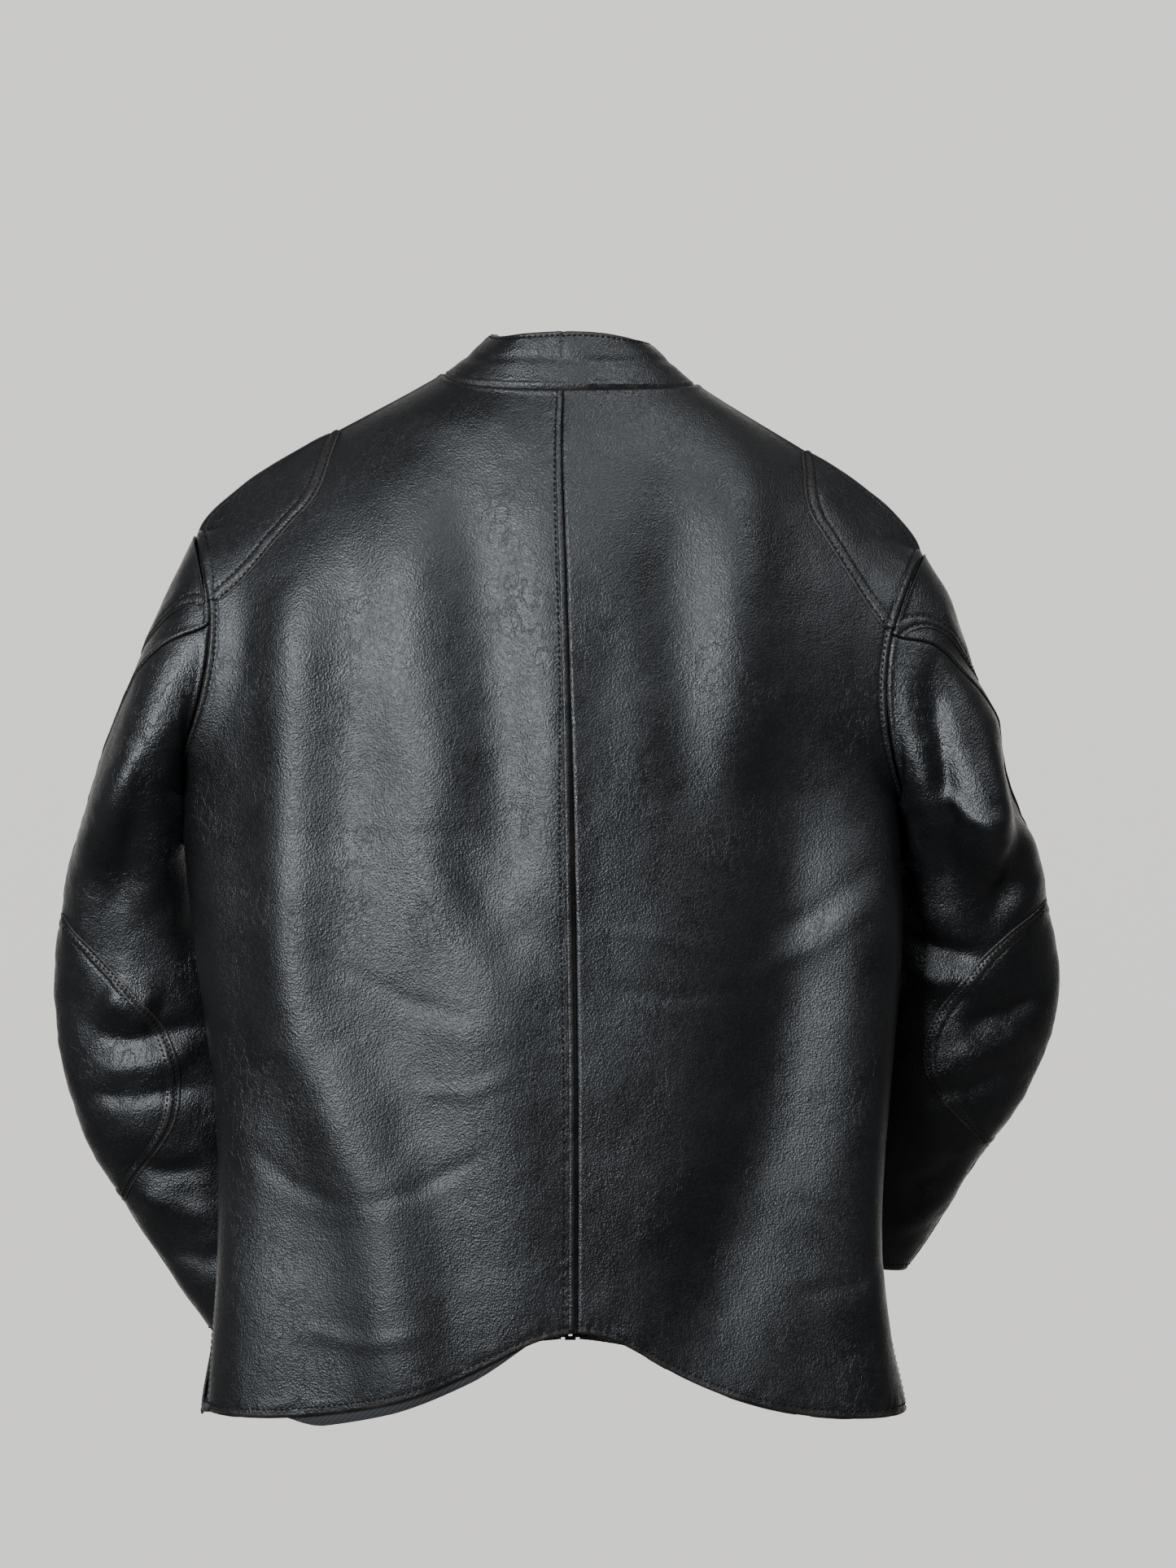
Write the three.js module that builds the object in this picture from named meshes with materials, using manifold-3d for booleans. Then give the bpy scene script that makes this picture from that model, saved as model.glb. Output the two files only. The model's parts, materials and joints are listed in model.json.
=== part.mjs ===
// Leather riding jacket, hung up by its neck: body, sleeves, collar, linings, zips and pockets.
// Millimetres, +Z up, front of the jacket towards -Y, the wearer's left towards +X.
// Origin: middle of the neck at the height of the back collar seam.
import * as THREE from "three";
import Module from "manifold-3d";

const manifold = await Module();
manifold.setup();
const { Manifold, Mesh } = manifold;

// ---------------------------------------------------------------- driving dimensions
// Pairs are [wearer's left, wearer's right]: the jacket hangs a little turned, so its sides differ.
const BACK_LENGTH = 693; // collar seam to hem, down the centre back
const SIDE_DROP = 62; // how much lower the back hem is at the sides than at its centre
const FRONT_HEM_DROP = 40; // front hem at the zip, below the back hem's centre
const FRONT_SIDE_DROP = 34; // front hem at the side, below the front hem at the zip
const ARM_DEPTH = [291, 311]; // collar seam down to the underarm
const CHEST_HALF = [291, 246]; // centre line to the side at the underarm
const WAIST_HALF = [259, 226];
const HEM_HALF = [269, 248];
const BACK_BULGE = [70, 80, 86, 79]; // depth of the back from the side line: hem, waist, shoulder blades, yoke
const FRONT_Y = -78; // the centre front is straight, so that the zip can run
const SIDE_Y = 5; // side seam
const NECK_HALF = 93; // half width of the neck seam
const NECK_BACK_Y = 50;
const NECK_SIDE_Z = [7, -1];
const FRONT_NECK_DROP = 64;
const SHOULDER_TIP = [[274, -113], [259, -127]]; // [x, z]
const SHOULDER_CROWN = [45, 50]; // how full the shoulder line is
const ARMHOLE_HALF_DEPTH = 50;
const ARMHOLE_Y = -2;
const ARMHOLE_BOW = [20, 22]; // how far the armhole cuts into the back
const COLLAR_HEIGHT = 42;
const COLLAR_LEAN = 35; // how far the collar's sides lean in
const LEATHER = 1.5;
const PATCH = 1.3;
const LINING = 1.0;
const SEAM_GAP = 0.3; // between pieces sewn edge to edge
const PATCH_GAP = 0.8; // a patch over its panel
const ELBOW_GAP = 2.0; // the same on the tighter curve of the sleeve
const LINING_GAP = 0.9; // a lining under its leather
const VENT_SPREAD = 9; // how far the side vents stand open at the hem
const VENT_HEIGHT = 66;
const LINING_SHOWS = 11; // lining seen below the back hem
const CUFF_FACING = 38;
const WELT_WIDTH = 7; // raised strip along the centre back seam

// front zip
const ZIP_GAP = 1.4; // slit that the slider's web runs in
const TOOTH = 2.3;
const ZIP_THICK = 3.0;
const TAPE_WIDTH = 9;
const ZIP_EDGE = 7; // centre line to the edge of the front leather
const ZIP_TEETH = 26;
const SLIDER = { width: 10.4, height: 13, plate: 1.5, web: 0.8 };
const PULL = { width: 7, length: 30, thick: 1.6 };

// pocket zips: [side, row across, row up, length, tilt in degrees]
const POCKETS = {
  chest_pocket: { side: 0, across: 0.37, up: 1.1, length: 126, tilt: 6 },
  hand_pocket_left: { side: 0, across: 0.36, up: 0.36, length: 146, tilt: -12 },
  hand_pocket_right: { side: 1, across: 0.37, up: 0.36, length: 146, tilt: -12 },
};
const POCKET_ZIP = { width: 17, thick: 0.9, slit: 1.2, teeth: 14 };
const WELT = { width: 24, slot: 9.6, thick: 1.1 };
const POCKET_DEPTH = 0.11; // pocket bag, in rows across

// Sleeves, from the armhole down to the cuff. Each station: outer edge [out, up] from the shoulder tip,
// inner edge [out, up] from the underarm, then the middle's y and half the depth.
const SLEEVES = [
  [
    [[0, 0], [0, 0], -2, 50],
    [[26, -53], [0, -6], -4, 55],
    [[55, -116], [-0.5, -12], -8, 60],
    [[84, 0], [-2, 0], -16, 60], // the joint: a level section
    [[106, -262], [-16, -75], -46, 44],
    [[116, -350], [-42, -171], -64, 37],
    [[103, -432], [-50, -254], -76, 35],
    [[70, -503], [-76, -321], -91, 31],
    [[1, -612], [-123, -415], -108, 25],
  ],
  [
    [[0, 0], [0, 0], -2, 50],
    [[23, -43], [1, -6], -4, 55],
    [[49, -113], [2, -12], -8, 60],
    [[81, 0], [3, 0], -16, 60],
    [[100, -258], [-7, -65], -44, 46],
    [[110, -337], [-23, -151], -62, 38],
    [[89, -401], [-39, -219], -74, 36],
    [[50, -465], [-57, -281], -89, 32],
    [[0, -547], [-95, -349], -106, 25],
  ],
];
const JOINT_DROP = 18; // level section below the underarm
const STATION_JOINT = 3;
const FRONT_SEAM = -110; // degrees round the sleeve: 0 outer edge, 90 back, -90 front
const BACK_SEAM = [78, 72]; // where the back-arm seam leaves the armhole
const ELBOW_PATCH = [[4.25, 7.0, 104], [4.0, 6.75, 106]]; // [from station, to station, degrees round]
const CAP_PATCH = [[1.52, 66], [1.7, 70]]; // [station it reaches at the outer edge, degrees each way]
const SHOULDER_PATCH = [[1.64, 2.56, 0.26], [1.62, 2.5, 0.27]]; // [first row, last row, width in rows across]

// ---------------------------------------------------------------- materials
const slot = (name, color, roughness, metalness = 0) => {
  const m = new THREE.MeshStandardMaterial({ color, roughness, metalness });
  m.name = name;
  return m;
};
const leather = slot("leather_black", 0x17181a, 0.5);
const lining = slot("lining_twill", 0x2b2c2f, 0.9);
const pocketing = slot("pocket_cotton", 0x1f2022, 0.95);
const tapeCloth = slot("zip_tape", 0x111113, 0.9);
const metal = slot("zip_metal", 0x8d8f92, 0.35, 1);
const labelCloth = slot("label_cloth", 0x3a3a3d, 0.85);

// ---------------------------------------------------------------- helpers
const V = (x, y, z) => new THREE.Vector3(x, y, z);
const mix = (a, b, t) => a + (b - a) * t;
const clamp01 = (t) => Math.min(1, Math.max(0, t));
const smooth = (a, b, t) => {
  const s = clamp01((t - a) / (b - a));
  return s * s * (3 - 2 * s);
};
const range = (a, b, n) => Array.from({ length: n + 1 }, (_, i) => mix(a, b, i / n));
const RAD = Math.PI / 180;
const SIGN = [1, -1];
const SIDES = ["left", "right"];

// a smooth curve through evenly numbered values; runs on straight past its ends
const through = (values) => (t) => {
  const last = values.length - 1;
  if (t <= 0) return values[0] + (values[1] - values[0]) * t;
  if (t >= last) return values[last] + (values[last] - values[last - 1]) * (t - last);
  const i = Math.floor(t), f = t - i;
  const at = (k) => values[Math.min(last, Math.max(0, k))];
  const [a, b, c, d] = [i > 0 ? at(i - 1) : 2 * at(0) - at(1), at(i), at(i + 1), i + 2 <= last ? at(i + 2) : 2 * at(last) - at(last - 1)];
  return b + 0.5 * f * (c - a + f * (2 * a - 5 * b + 4 * c - d + f * (3 * (b - c) + d - a)));
};

const jacket = new THREE.Group();
jacket.name = "riding_jacket";
const add = (name, geometry, material) => {
  geometry.computeVertexNormals();
  const mesh = new THREE.Mesh(geometry, material);
  mesh.name = name;
  jacket.add(mesh);
  return mesh;
};

// the direction du x dv of a surface
const slope = (surface, u, v, e = 1e-3) =>
  surface(u + e, v).sub(surface(u - e, v)).cross(surface(u, v + e).sub(surface(u, v - e))).normalize();

// A closed sheet between two offsets from a surface. us, vs: grid lines; out: +1 if du x dv faces out.
// Both faces split their squares along the same diagonal, so sheets on the same lines stay parallel.
function sheet(surface, us, vs, out, low, high) {
  const nu = us.length, nv = vs.length, faces = nu * nv, points = [], index = [];
  for (const side of [high, low])
    for (const v of vs)
      for (const u of us) {
        const n = surface.normal ? surface.normal(u, v) : slope(surface, u, v).multiplyScalar(out);
        points.push(...surface(u, v).addScaledVector(n, typeof side === "function" ? side(u, v) : side));
      }
  const quad = (a, b, c, d) => (out > 0 ? index.push(a, b, c, a, c, d) : index.push(a, c, b, a, d, c));
  const at = (i, j) => j * nu + i;
  for (let j = 0; j < nv - 1; j++)
    for (let i = 0; i < nu - 1; i++) {
      quad(at(i, j), at(i + 1, j), at(i + 1, j + 1), at(i, j + 1));
      const [a, b, c, d] = [at(i, j), at(i + 1, j), at(i + 1, j + 1), at(i, j + 1)].map((k) => k + faces);
      if (out > 0) index.push(a, c, b, a, d, c);
      else index.push(a, b, c, a, c, d);
    }
  const wall = (a, b) => quad(a, a + faces, b + faces, b);
  for (let i = 0; i < nu - 1; i++) {
    wall(at(i, 0), at(i + 1, 0));
    wall(at(i + 1, nv - 1), at(i, nv - 1));
  }
  for (let j = 0; j < nv - 1; j++) {
    wall(at(nu - 1, j), at(nu - 1, j + 1));
    wall(at(0, j + 1), at(0, j));
  }
  const g = new THREE.BufferGeometry();
  g.setAttribute("position", new THREE.Float32BufferAttribute(points, 3));
  g.setIndex(index);
  return g;
}

const toManifold = (g) => {
  const p = g.attributes.position, keys = new Map(), verts = [], map = [];
  for (let i = 0; i < p.count; i++) {
    const k = [p.getX(i), p.getY(i), p.getZ(i)].map((c) => Math.round(c * 1e4)).join();
    if (!keys.has(k)) {
      keys.set(k, verts.length / 3);
      verts.push(p.getX(i), p.getY(i), p.getZ(i));
    }
    map.push(keys.get(k));
  }
  const index = g.index ? Array.from(g.index.array) : range(0, p.count - 1, p.count - 1);
  const tris = [];
  for (let i = 0; i < index.length; i += 3) {
    const t = [map[index[i]], map[index[i + 1]], map[index[i + 2]]];
    if (t[0] !== t[1] && t[1] !== t[2] && t[0] !== t[2]) tris.push(...t);
  }
  return new Manifold(new Mesh({ numProp: 3, vertProperties: new Float32Array(verts), triVerts: new Uint32Array(tris) }));
};
const fromManifold = (m) => {
  const mesh = m.getMesh(), g = new THREE.BufferGeometry(), pos = [];
  for (let i = 0; i < mesh.numVert; i++) pos.push(...mesh.vertProperties.slice(i * mesh.numProp, i * mesh.numProp + 3));
  g.setAttribute("position", new THREE.Float32BufferAttribute(pos, 3));
  g.setIndex(Array.from(mesh.triVerts));
  return g;
};
const join = (...parts) => fromManifold(Manifold.union(parts.map(toManifold)));
const cut = (a, b) => fromManifold(toManifold(a).subtract(toManifold(b)));
const box = (x0, x1, y0, y1, z0, z1) => new THREE.BoxGeometry(x1 - x0, y1 - y0, z1 - z0).translate((x0 + x1) / 2, (y0 + y1) / 2, (z0 + z1) / 2);

// ---------------------------------------------------------------- the body
// Rows run v = 0 hem, 1 underarm, 2 shoulder tip, 3 neck; u = 0 centre, 1 side seam, armhole or shoulder seam.
const hemSide = -BACK_LENGTH - 7 - SIDE_DROP;
const frontHem = -BACK_LENGTH - 7 - FRONT_HEM_DROP;

// point on the armhole: degrees 0 top, 90 back, 180 underarm, -90 front
function armhole(k, degrees) {
  const [tipX, tipZ] = SHOULDER_TIP[k], c = Math.cos(degrees * RAD), s = Math.sin(degrees * RAD), low = (1 - c) / 2;
  const x = mix(tipX, CHEST_HALF[k] + 1, low) - ARMHOLE_BOW[k] * s * s;
  return V(SIGN[k] * x, ARMHOLE_Y + ARMHOLE_HALF_DEPTH * s, mix(tipZ, -ARM_DEPTH[k], low));
}

function outerEdge(k, v, face) {
  // face +1 back, -1 front; the two faces' edges stand a seam gap apart
  const half = (face * SEAM_GAP) / 2;
  if (v < 1) {
    const widths = through([HEM_HALF[k], WAIST_HALF[k] + 1, WAIST_HALF[k] + 3, mix(WAIST_HALF[k], CHEST_HALF[k], 0.5), CHEST_HALF[k]]);
    const low = face > 0 ? hemSide : frontHem - FRONT_SIDE_DROP;
    const vent = 1 - smooth(0, VENT_HEIGHT / (ARM_DEPTH[k] * 1.6), v);
    const open = face > 0 ? -0.3 : 1;
    return V(SIGN[k] * (widths(v * 4) + vent * VENT_SPREAD * open), SIDE_Y * (1 - v) + ARMHOLE_Y * v + half + vent * (face > 0 ? 2 : -6), mix(low, -ARM_DEPTH[k], v));
  }
  if (v < 2) {
    const p = armhole(k, face * 180 * (2 - v));
    p.y += half;
    return p;
  }
  const t = v - 2, [tipX, tipZ] = SHOULDER_TIP[k];
  const crown = SHOULDER_CROWN[k] * Math.sqrt(clamp01(t)) * clamp01(1 - t) ** 1.5;
  return V(SIGN[k] * mix(tipX, NECK_HALF, t), mix(ARMHOLE_Y, 0, t) + half, mix(tipZ, NECK_SIDE_Z[k], t) + crown);
}

const backDepth = through([BACK_BULGE[0], BACK_BULGE[1], BACK_BULGE[2], BACK_BULGE[3] + 5, BACK_BULGE[3], 68, NECK_BACK_Y]);
const backX = through([-6, -6, -3, 0, 3, 6, 5]);
const levels = (low, k, tipZ, neck, v) => {
  const under = -(ARM_DEPTH[0] + ARM_DEPTH[1]) / 2;
  if (v < 1) return mix(low, under, v);
  return v < 2 ? mix(under, tipZ, v - 1) : mix(tipZ, neck, v - 2);
};
const roundness = (v) => {
  if (v < 2) return mix(1, 0.12, smooth(0.7, 1.5, v));
  return mix(0.12, 1, smooth(2.1, 3, v) ** 1.5);
};

function row(centre, edge, u, v, hemPower) {
  const a = Math.abs(u), k = roundness(v), sine = Math.sin((Math.min(a, 1.02) * Math.PI) / 2), cosine = Math.cos((Math.min(a, 1.02) * Math.PI) / 2);
  const along = mix(a, sine, k);
  const deep = mix(1 - a ** 2.2, Math.sign(cosine) * Math.abs(cosine) ** 0.9, k);
  const hem = 1 - Math.max(0, 1 - along ** 1.3) ** hemPower;
  const rise = mix(hem, a * a, clamp01(v * 1.6));
  return V(mix(centre.x, edge.x, along), mix(edge.y, centre.y, deep), mix(centre.z, edge.z, rise));
}

// u from -1 (right side) to 1 (left side)
function back(u, v) {
  const k = u >= 0 ? 0 : 1;
  const centre = V(backX(v * 2), backDepth(v * 2), levels(-BACK_LENGTH - 7, k, -112, -7.5, v));
  return row(centre, outerEdge(k, v, 1), u, v, 2.9);
}
function front(u, v) {
  const k = u >= 0 ? 0 : 1;
  const centre = V(SIGN[k] * ZIP_EDGE, FRONT_Y, levels(frontHem, k, -125, -FRONT_NECK_DROP, v));
  return row(centre, outerEdge(k, v, -1), u, v, 1.4);
}


// Outward directions. At a seam both faces share one, so that sewn edges stay parallel.
const seamShare = (v) => (v <= 1 || v >= 2 ? 1 : 1 - smooth(1, 1.14, v) + smooth(1.86, 2, v));
const outward = (surface, out) => (u, v) => {
  const s = u >= 0 ? 1 : -1, own = slope(surface, u, v).multiplyScalar(out);
  const share = smooth(0.8, 1, Math.abs(u)) * seamShare(v);
  if (!share) return own;
  const edge = slope(back, s * 0.999, v).negate().add(slope(front, s * 0.999, v)).normalize();
  return own.lerp(edge, share).normalize();
};
back.normal = outward(back, -1);
front.normal = outward(front, 1);

const ROWS = [...range(0, 1, 7), ...range(1, 2, 6).slice(1), ...range(2, 3, 5).slice(1)];
const ACROSS = [0, 0.18, 0.36, 0.52, 0.66, 0.78, 0.88, 0.95, 1];
const halfSeam = (SEAM_GAP / 2) / 250;
const upTo = (rows, top) => [...rows.slice(0, -1), top];
const bodyRows = upTo(ROWS, 2.996);

for (const k of [0, 1]) {
  const s = SIGN[k], side = SIDES[k];
  const across = ACROSS.map((u) => s * Math.max(u, halfSeam)).sort((a, b) => a - b);
  add(`back_panel_${side}`, sheet(back, across, bodyRows, -1, -LEATHER, 0), leather);

  const frontAcross = ACROSS.map((u) => s * Math.max(u, 1e-4)).sort((a, b) => a - b);
  let panel = sheet(front, frontAcross, bodyRows, 1, -LEATHER, 0);
  for (const pocket of Object.values(POCKETS)) {
    if (pocket.side !== k) continue;
    const slotCut = box(-WELT.slot / 2, WELT.slot / 2, -pocket.length / 2, pocket.length / 2, -14, 14);
    panel = cut(panel, slotCut.applyMatrix4(pocketFrame(pocket)));
  }
  add(`front_panel_${side}`, panel, leather);

  const [from, to, width] = SHOULDER_PATCH[k];
  const patch = (p, q) => back(s * (1 - (1 - p) * width * (0.12 + 0.88 * Math.sin(Math.PI * clamp01((q - from) / (to - from))) ** 0.8)), q);
  add(`shoulder_patch_${side}`, sheet(patch, range(0, 0.985, 5), range(from, to, 9), -s, PATCH_GAP, PATCH_GAP + PATCH), leather);
}
// raised welt down the centre back seam, kept clear of the collar and the hem
const weltHalf = WELT_WIDTH / 2 / 250;
add("centre_back_welt", sheet(back, [-weltHalf, 0, weltHalf], [0.02, ...ROWS.slice(1, -1), 2.95], -1, 0.35, 1.35), leather);

// ---------------------------------------------------------------- body linings and facings
const liningDepth = LEATHER + LINING_GAP;
{
  // the back lining is longer than the leather over the arch of the hem
  const at = (u, v) => (v > 0.05 ? v : mix(0.012, -LINING_SHOWS / 400, Math.cos((Math.min(1, Math.abs(u) * 1.25) * Math.PI) / 2)));
  const longer = (u, v) => back(u, at(u, v));
  longer.normal = (u, v) => back.normal(u, Math.max(at(u, v), 0));
  const acrossAll = [...ACROSS.slice(1, -1).map((u) => -u).reverse(), 0, ...ACROSS.slice(1, -1)];
  add("lining_back", sheet(longer, [-0.988, ...acrossAll, 0.988], [0, ...ROWS.slice(1, -1), 2.93], -1, -liningDepth - LINING, -liningDepth), lining);
}
const FACING_ACROSS = 0.18;
const facingDepth = LEATHER + 1.7;
for (const k of [0, 1]) {
  const s = SIGN[k], side = SIDES[k];
  const facingLines = [0.012, 0.1, FACING_ACROSS - 0.003].map((u) => s * u).sort((a, b) => a - b);
  add(`front_facing_${side}`, sheet(front, facingLines, upTo([0.01, ...ROWS.slice(1)], 2.93), 1, -facingDepth - LEATHER * 0.7, -facingDepth), leather);
  // the front lining stands off where the pocket bags lie
  const off = (u, v) => liningDepth + 0.5 + 5 * smooth(FACING_ACROSS, 0.25, Math.abs(u)) * (1 - smooth(0.7, 0.9, Math.abs(u))) * (1 - smooth(1.5, 2, v));
  const lines = [FACING_ACROSS + 0.003, 0.25, ...ACROSS.slice(2, -1), 0.988].map((u) => s * u).sort((a, b) => a - b);
  add(`lining_front_${side}`, sheet(front, lines, upTo([0.03, ...ROWS.slice(1)], 2.93), 1, (u, v) => -off(u, v) - LINING, (u, v) => -off(u, v)), lining);
}

// ---------------------------------------------------------------- collar
// a from -2 (right front end) through 0 (centre back) to 2 (left front end); h from 0 seam to 1 top
function collar(a, h) {
  const s = a < 0 ? -1 : 1, b = Math.abs(a);
  const base = b <= 1 ? back(s * Math.max(b, 1e-4), 3) : front(s * Math.max(2 - b, 1e-4), 3);
  const sideways = Math.abs(base.x) / NECK_HALF;
  const height = mix(COLLAR_HEIGHT, COLLAR_HEIGHT - 11, clamp01(sideways) ** 2);
  return V(base.x - Math.sign(base.x) * COLLAR_LEAN * clamp01(sideways) ** 1.5 * h, base.y * (1 - 0.15 * h), base.z + 0.6 + height * h);
}
const collarLines = [...range(-1.99, -1, 7), ...range(-1, 1, 12).slice(1), ...range(1, 1.99, 7).slice(1)];
add("collar", sheet(collar, collarLines, range(0, 1, 3), -1, -LEATHER, 0), leather);
add("collar_lining", sheet(collar, collarLines.map((a) => a * 0.998), range(0, 1, 3), -1, -LEATHER - 0.6 - LEATHER * 0.8, -LEATHER - 0.6), leather);

// closing tab over the front of the collar, sewn on at the wearer's right
const TAB = { from: -33, to: 27, low: 0.2, high: 0.78 };
const tabAt = (x, h) => {
  const s = x < 0 ? -1 : 1, reach = clamp01((Math.abs(x) - ZIP_EDGE) / (NECK_HALF - ZIP_EDGE));
  const p = collar(s * (2 - Math.asin(reach) / (Math.PI / 2)), h);
  return Math.abs(x) < ZIP_EDGE ? V(x, p.y, p.z) : p;
};
add("collar_tab", sheet(tabAt, range(TAB.from, TAB.to, 12), range(TAB.low, TAB.high, 2), 1, 0.6, 0.6 + LEATHER), leather);
{
  const h = (TAB.low + TAB.high) / 2, at = tabAt(17, h), n = tabAt(18, h).sub(tabAt(16, h)).cross(tabAt(17, h + 0.05).sub(tabAt(17, h - 0.05))).normalize();
  const cap = new THREE.CylinderGeometry(4.6, 6.2, 1.7, 18).rotateX(Math.PI / 2).translate(0, 0, 0.85);
  cap.applyQuaternion(new THREE.Quaternion().setFromUnitVectors(V(0, 0, 1), n)).translate(...at.addScaledVector(n, 0.6 + LEATHER + 0.45));
  add("snap_cap", cap, metal);
}

// hanging loop and label inside the back neck
const loopPath = (u, v) => {
  const p = back(u * 0.13, 2.86 - 0.05 * v);
  return p.add(V(0, -liningDepth - LINING - 0.5 - 7 * Math.cos((u * Math.PI) / 2) ** 0.7, 0));
};
add("hang_loop", sheet(loopPath, range(-0.97, 0.97, 10), [0, 1], -1, -0.6, 0.6), leather);
add("label", sheet(back, range(-0.13, 0.13, 4), range(2.36, 2.62, 3), -1, -liningDepth - LINING - 1.3, -liningDepth - LINING - 0.7), labelCloth);

// ---------------------------------------------------------------- sleeves
const jointStation = STATION_JOINT;
const cuffStation = SLEEVES[0].length - 1;
const sleeveOf = SLEEVES.map((stations, k) => {
  const rows = stations.map(([outer, inner, my, depth], i) => {
    const underarm = -ARM_DEPTH[k], level = i === jointStation ? underarm - JOINT_DROP : null;
    return [SIGN[k] * (SHOULDER_TIP[k][0] + outer[0]), level ?? SHOULDER_TIP[k][1] + outer[1], SIGN[k] * (CHEST_HALF[k] + 1 + inner[0]), level ?? underarm + inner[1], my, depth];
  });
  return rows[0].map((_, c) => through(rows.map((r) => r[c])));
});

// g: station number, degrees round: 0 outer edge, 90 back, 180 inner edge, -90 front
function sleeve(k, g, degrees) {
  const [ox, oz, ix, iz, my, depth] = sleeveOf[k].map((f) => f(g));
  const c = Math.cos(degrees * RAD), s = Math.sin(degrees * RAD);
  const bow = ARMHOLE_BOW[k] * Math.max(0, 1 - g / jointStation) ** 2 * s * s;
  return V((ox + ix) / 2 + ((ox - ix) / 2) * c - SIGN[k] * bow, my + depth * s, (oz + iz) / 2 + ((oz - iz) / 2) * c);
}
const backSeam = (k, g) => BACK_SEAM[k] * (1 - smooth(-0.4, 3.4, g)) + 2;
// w: 0 front seam, 1 back-arm seam, 2 front seam again
const round = (k) => (w, g) => {
  const seam = backSeam(k, g);
  return sleeve(k, g, w <= 1 ? mix(FRONT_SEAM, seam, w) : mix(seam, FRONT_SEAM + 360, w - 1));
};
const sleeveDepth = LEATHER + 0.45;
const topLines = range(0, 1, 6), underLines = range(1, 2, 12);
const headStations = [0.02, 0.6, 1.2, 1.8, 2.4, jointStation - 0.004];
const armStations = [jointStation + 0.006, ...range(jointStation, cuffStation, 10).slice(1)];
const nudge = 0.0016;

for (const k of [0, 1]) {
  const s = SIGN[k], side = SIDES[k], around = round(k);
  const inset = (lines) => [lines[0] + nudge, ...lines.slice(1, -1), lines[lines.length - 1] - nudge];
  const shifted = (w, g) => around(w, g).add(V(g < jointStation ? s * 1.6 * (1 - g / jointStation) : 0, 0, 0));
  add(`sleeve_top_head_${side}`, sheet(shifted, inset(topLines), headStations, -s, -LEATHER, 0), leather);
  add(`sleeve_under_head_${side}`, sheet(shifted, inset(underLines), headStations, -s, -LEATHER, 0), leather);
  add(`sleeve_top_${side}`, sheet(shifted, inset(topLines), armStations, -s, -LEATHER, 0), leather);
  add(`sleeve_under_${side}`, sheet(shifted, inset(underLines), armStations, -s, -LEATHER, 0), leather);

  // linings run all the way round, open by a seam gap at the front seam
  const allLines = [0.004, ...topLines.slice(1), ...underLines.slice(1, -1), 1.996];
  add(`sleeve_lining_head_${side}`, sheet(shifted, allLines, headStations, -s, -sleeveDepth - LINING * 0.8, -sleeveDepth), lining);
  const facingFrom = cuffStation - 0.42;
  add(`sleeve_lining_${side}`, sheet(shifted, allLines, [...armStations.slice(0, -1), facingFrom - 0.01], -s, -sleeveDepth - LINING * 0.8, -sleeveDepth), lining);
  add(`cuff_facing_${side}`, sheet(shifted, allLines, [facingFrom, cuffStation - 0.01], -s, -sleeveDepth - LEATHER * 0.8, -sleeveDepth), leather);

  // elbow patch, sewn into the back-arm seam along its straight edge
  const [from, to, degrees] = ELBOW_PATCH[k];
  const elbow = (p, q) => {
    const width = degrees * (0.16 + 0.84 * Math.sin(Math.PI * clamp01((q - from) / (to - from))) ** 0.75);
    return sleeve(k, q, 4 + width * p);
  };
  add(`elbow_patch_${side}`, sheet(elbow, range(0, 1, 8), range(0, 1, 11).map((t) => mix(from, to, (1 - Math.cos(Math.PI * t)) / 2)), -s, ELBOW_GAP, ELBOW_GAP + PATCH), leather);

  // cap patch over the sleeve head, sewn into the armhole
  const [reach, spread] = CAP_PATCH[k];
  const cap = (p, q) => {
    const along = mix(0.1, reach, Math.cos((q * Math.PI) / 2) ** 1.3);
    return shifted(0, 0).copy(sleeve(k, mix(0.03, along + 0.08, p), q * spread)).add(V(s * 1.6 * (1 - mix(0.03, along + 0.08, p) / jointStation), 0, 0));
  };
  add(`cap_patch_${side}`, sheet(cap, range(0, 1, 4), range(-0.97, 0.97, 12), s, PATCH_GAP, PATCH_GAP + PATCH), leather);
}

// ---------------------------------------------------------------- front zip
const zipTop = -FRONT_NECK_DROP - 3, zipBottom = frontHem + 4;
const zipFace = FRONT_Y + LEATHER + 0.6; // outer face of the tape
const teethFront = zipFace - 0.9;

function comb(x0, direction, z0, z1, count) {
  // a strip of teeth: a spine with square teeth towards the centre line
  const shape = new THREE.Shape(), pitch = (z1 - z0) / count, spine = x0 + direction * TOOTH * 0.55;
  shape.moveTo(x0 + direction * TOOTH, z0);
  for (let i = 0; i < count; i++) {
    const z = z0 + i * pitch;
    shape.lineTo(spine, z).lineTo(spine, z + pitch * 0.25).lineTo(x0, z + pitch * 0.25).lineTo(x0, z + pitch * 0.75).lineTo(spine, z + pitch * 0.75);
  }
  shape.lineTo(spine, z1).lineTo(x0 + direction * TOOTH, z1);
  return new THREE.ExtrudeGeometry(shape, { depth: ZIP_THICK, bevelEnabled: false }).rotateX(Math.PI / 2).translate(0, teethFront + ZIP_THICK, 0);
}
for (const k of [0, 1]) {
  const s = SIGN[k], inner = ZIP_GAP / 2 + TOOTH + 0.3;
  add(`zip_teeth_${SIDES[k]}`, comb((s * ZIP_GAP) / 2, s, zipBottom + 12, zipTop - 2, ZIP_TEETH), metal);
  const edges = [s * inner, s * (inner + TAPE_WIDTH)].sort((a, b) => a - b);
  add(`zip_tape_${SIDES[k]}`, box(edges[0], edges[1], zipFace, zipFace + 0.8, zipBottom, zipTop), tapeCloth);
}
add("zip_bottom_box", box(-4.2, 4.2, teethFront - 0.6, teethFront + ZIP_THICK + 0.4, zipBottom + 1, zipBottom + 11).translate(0, 0, 0), metal);
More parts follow.
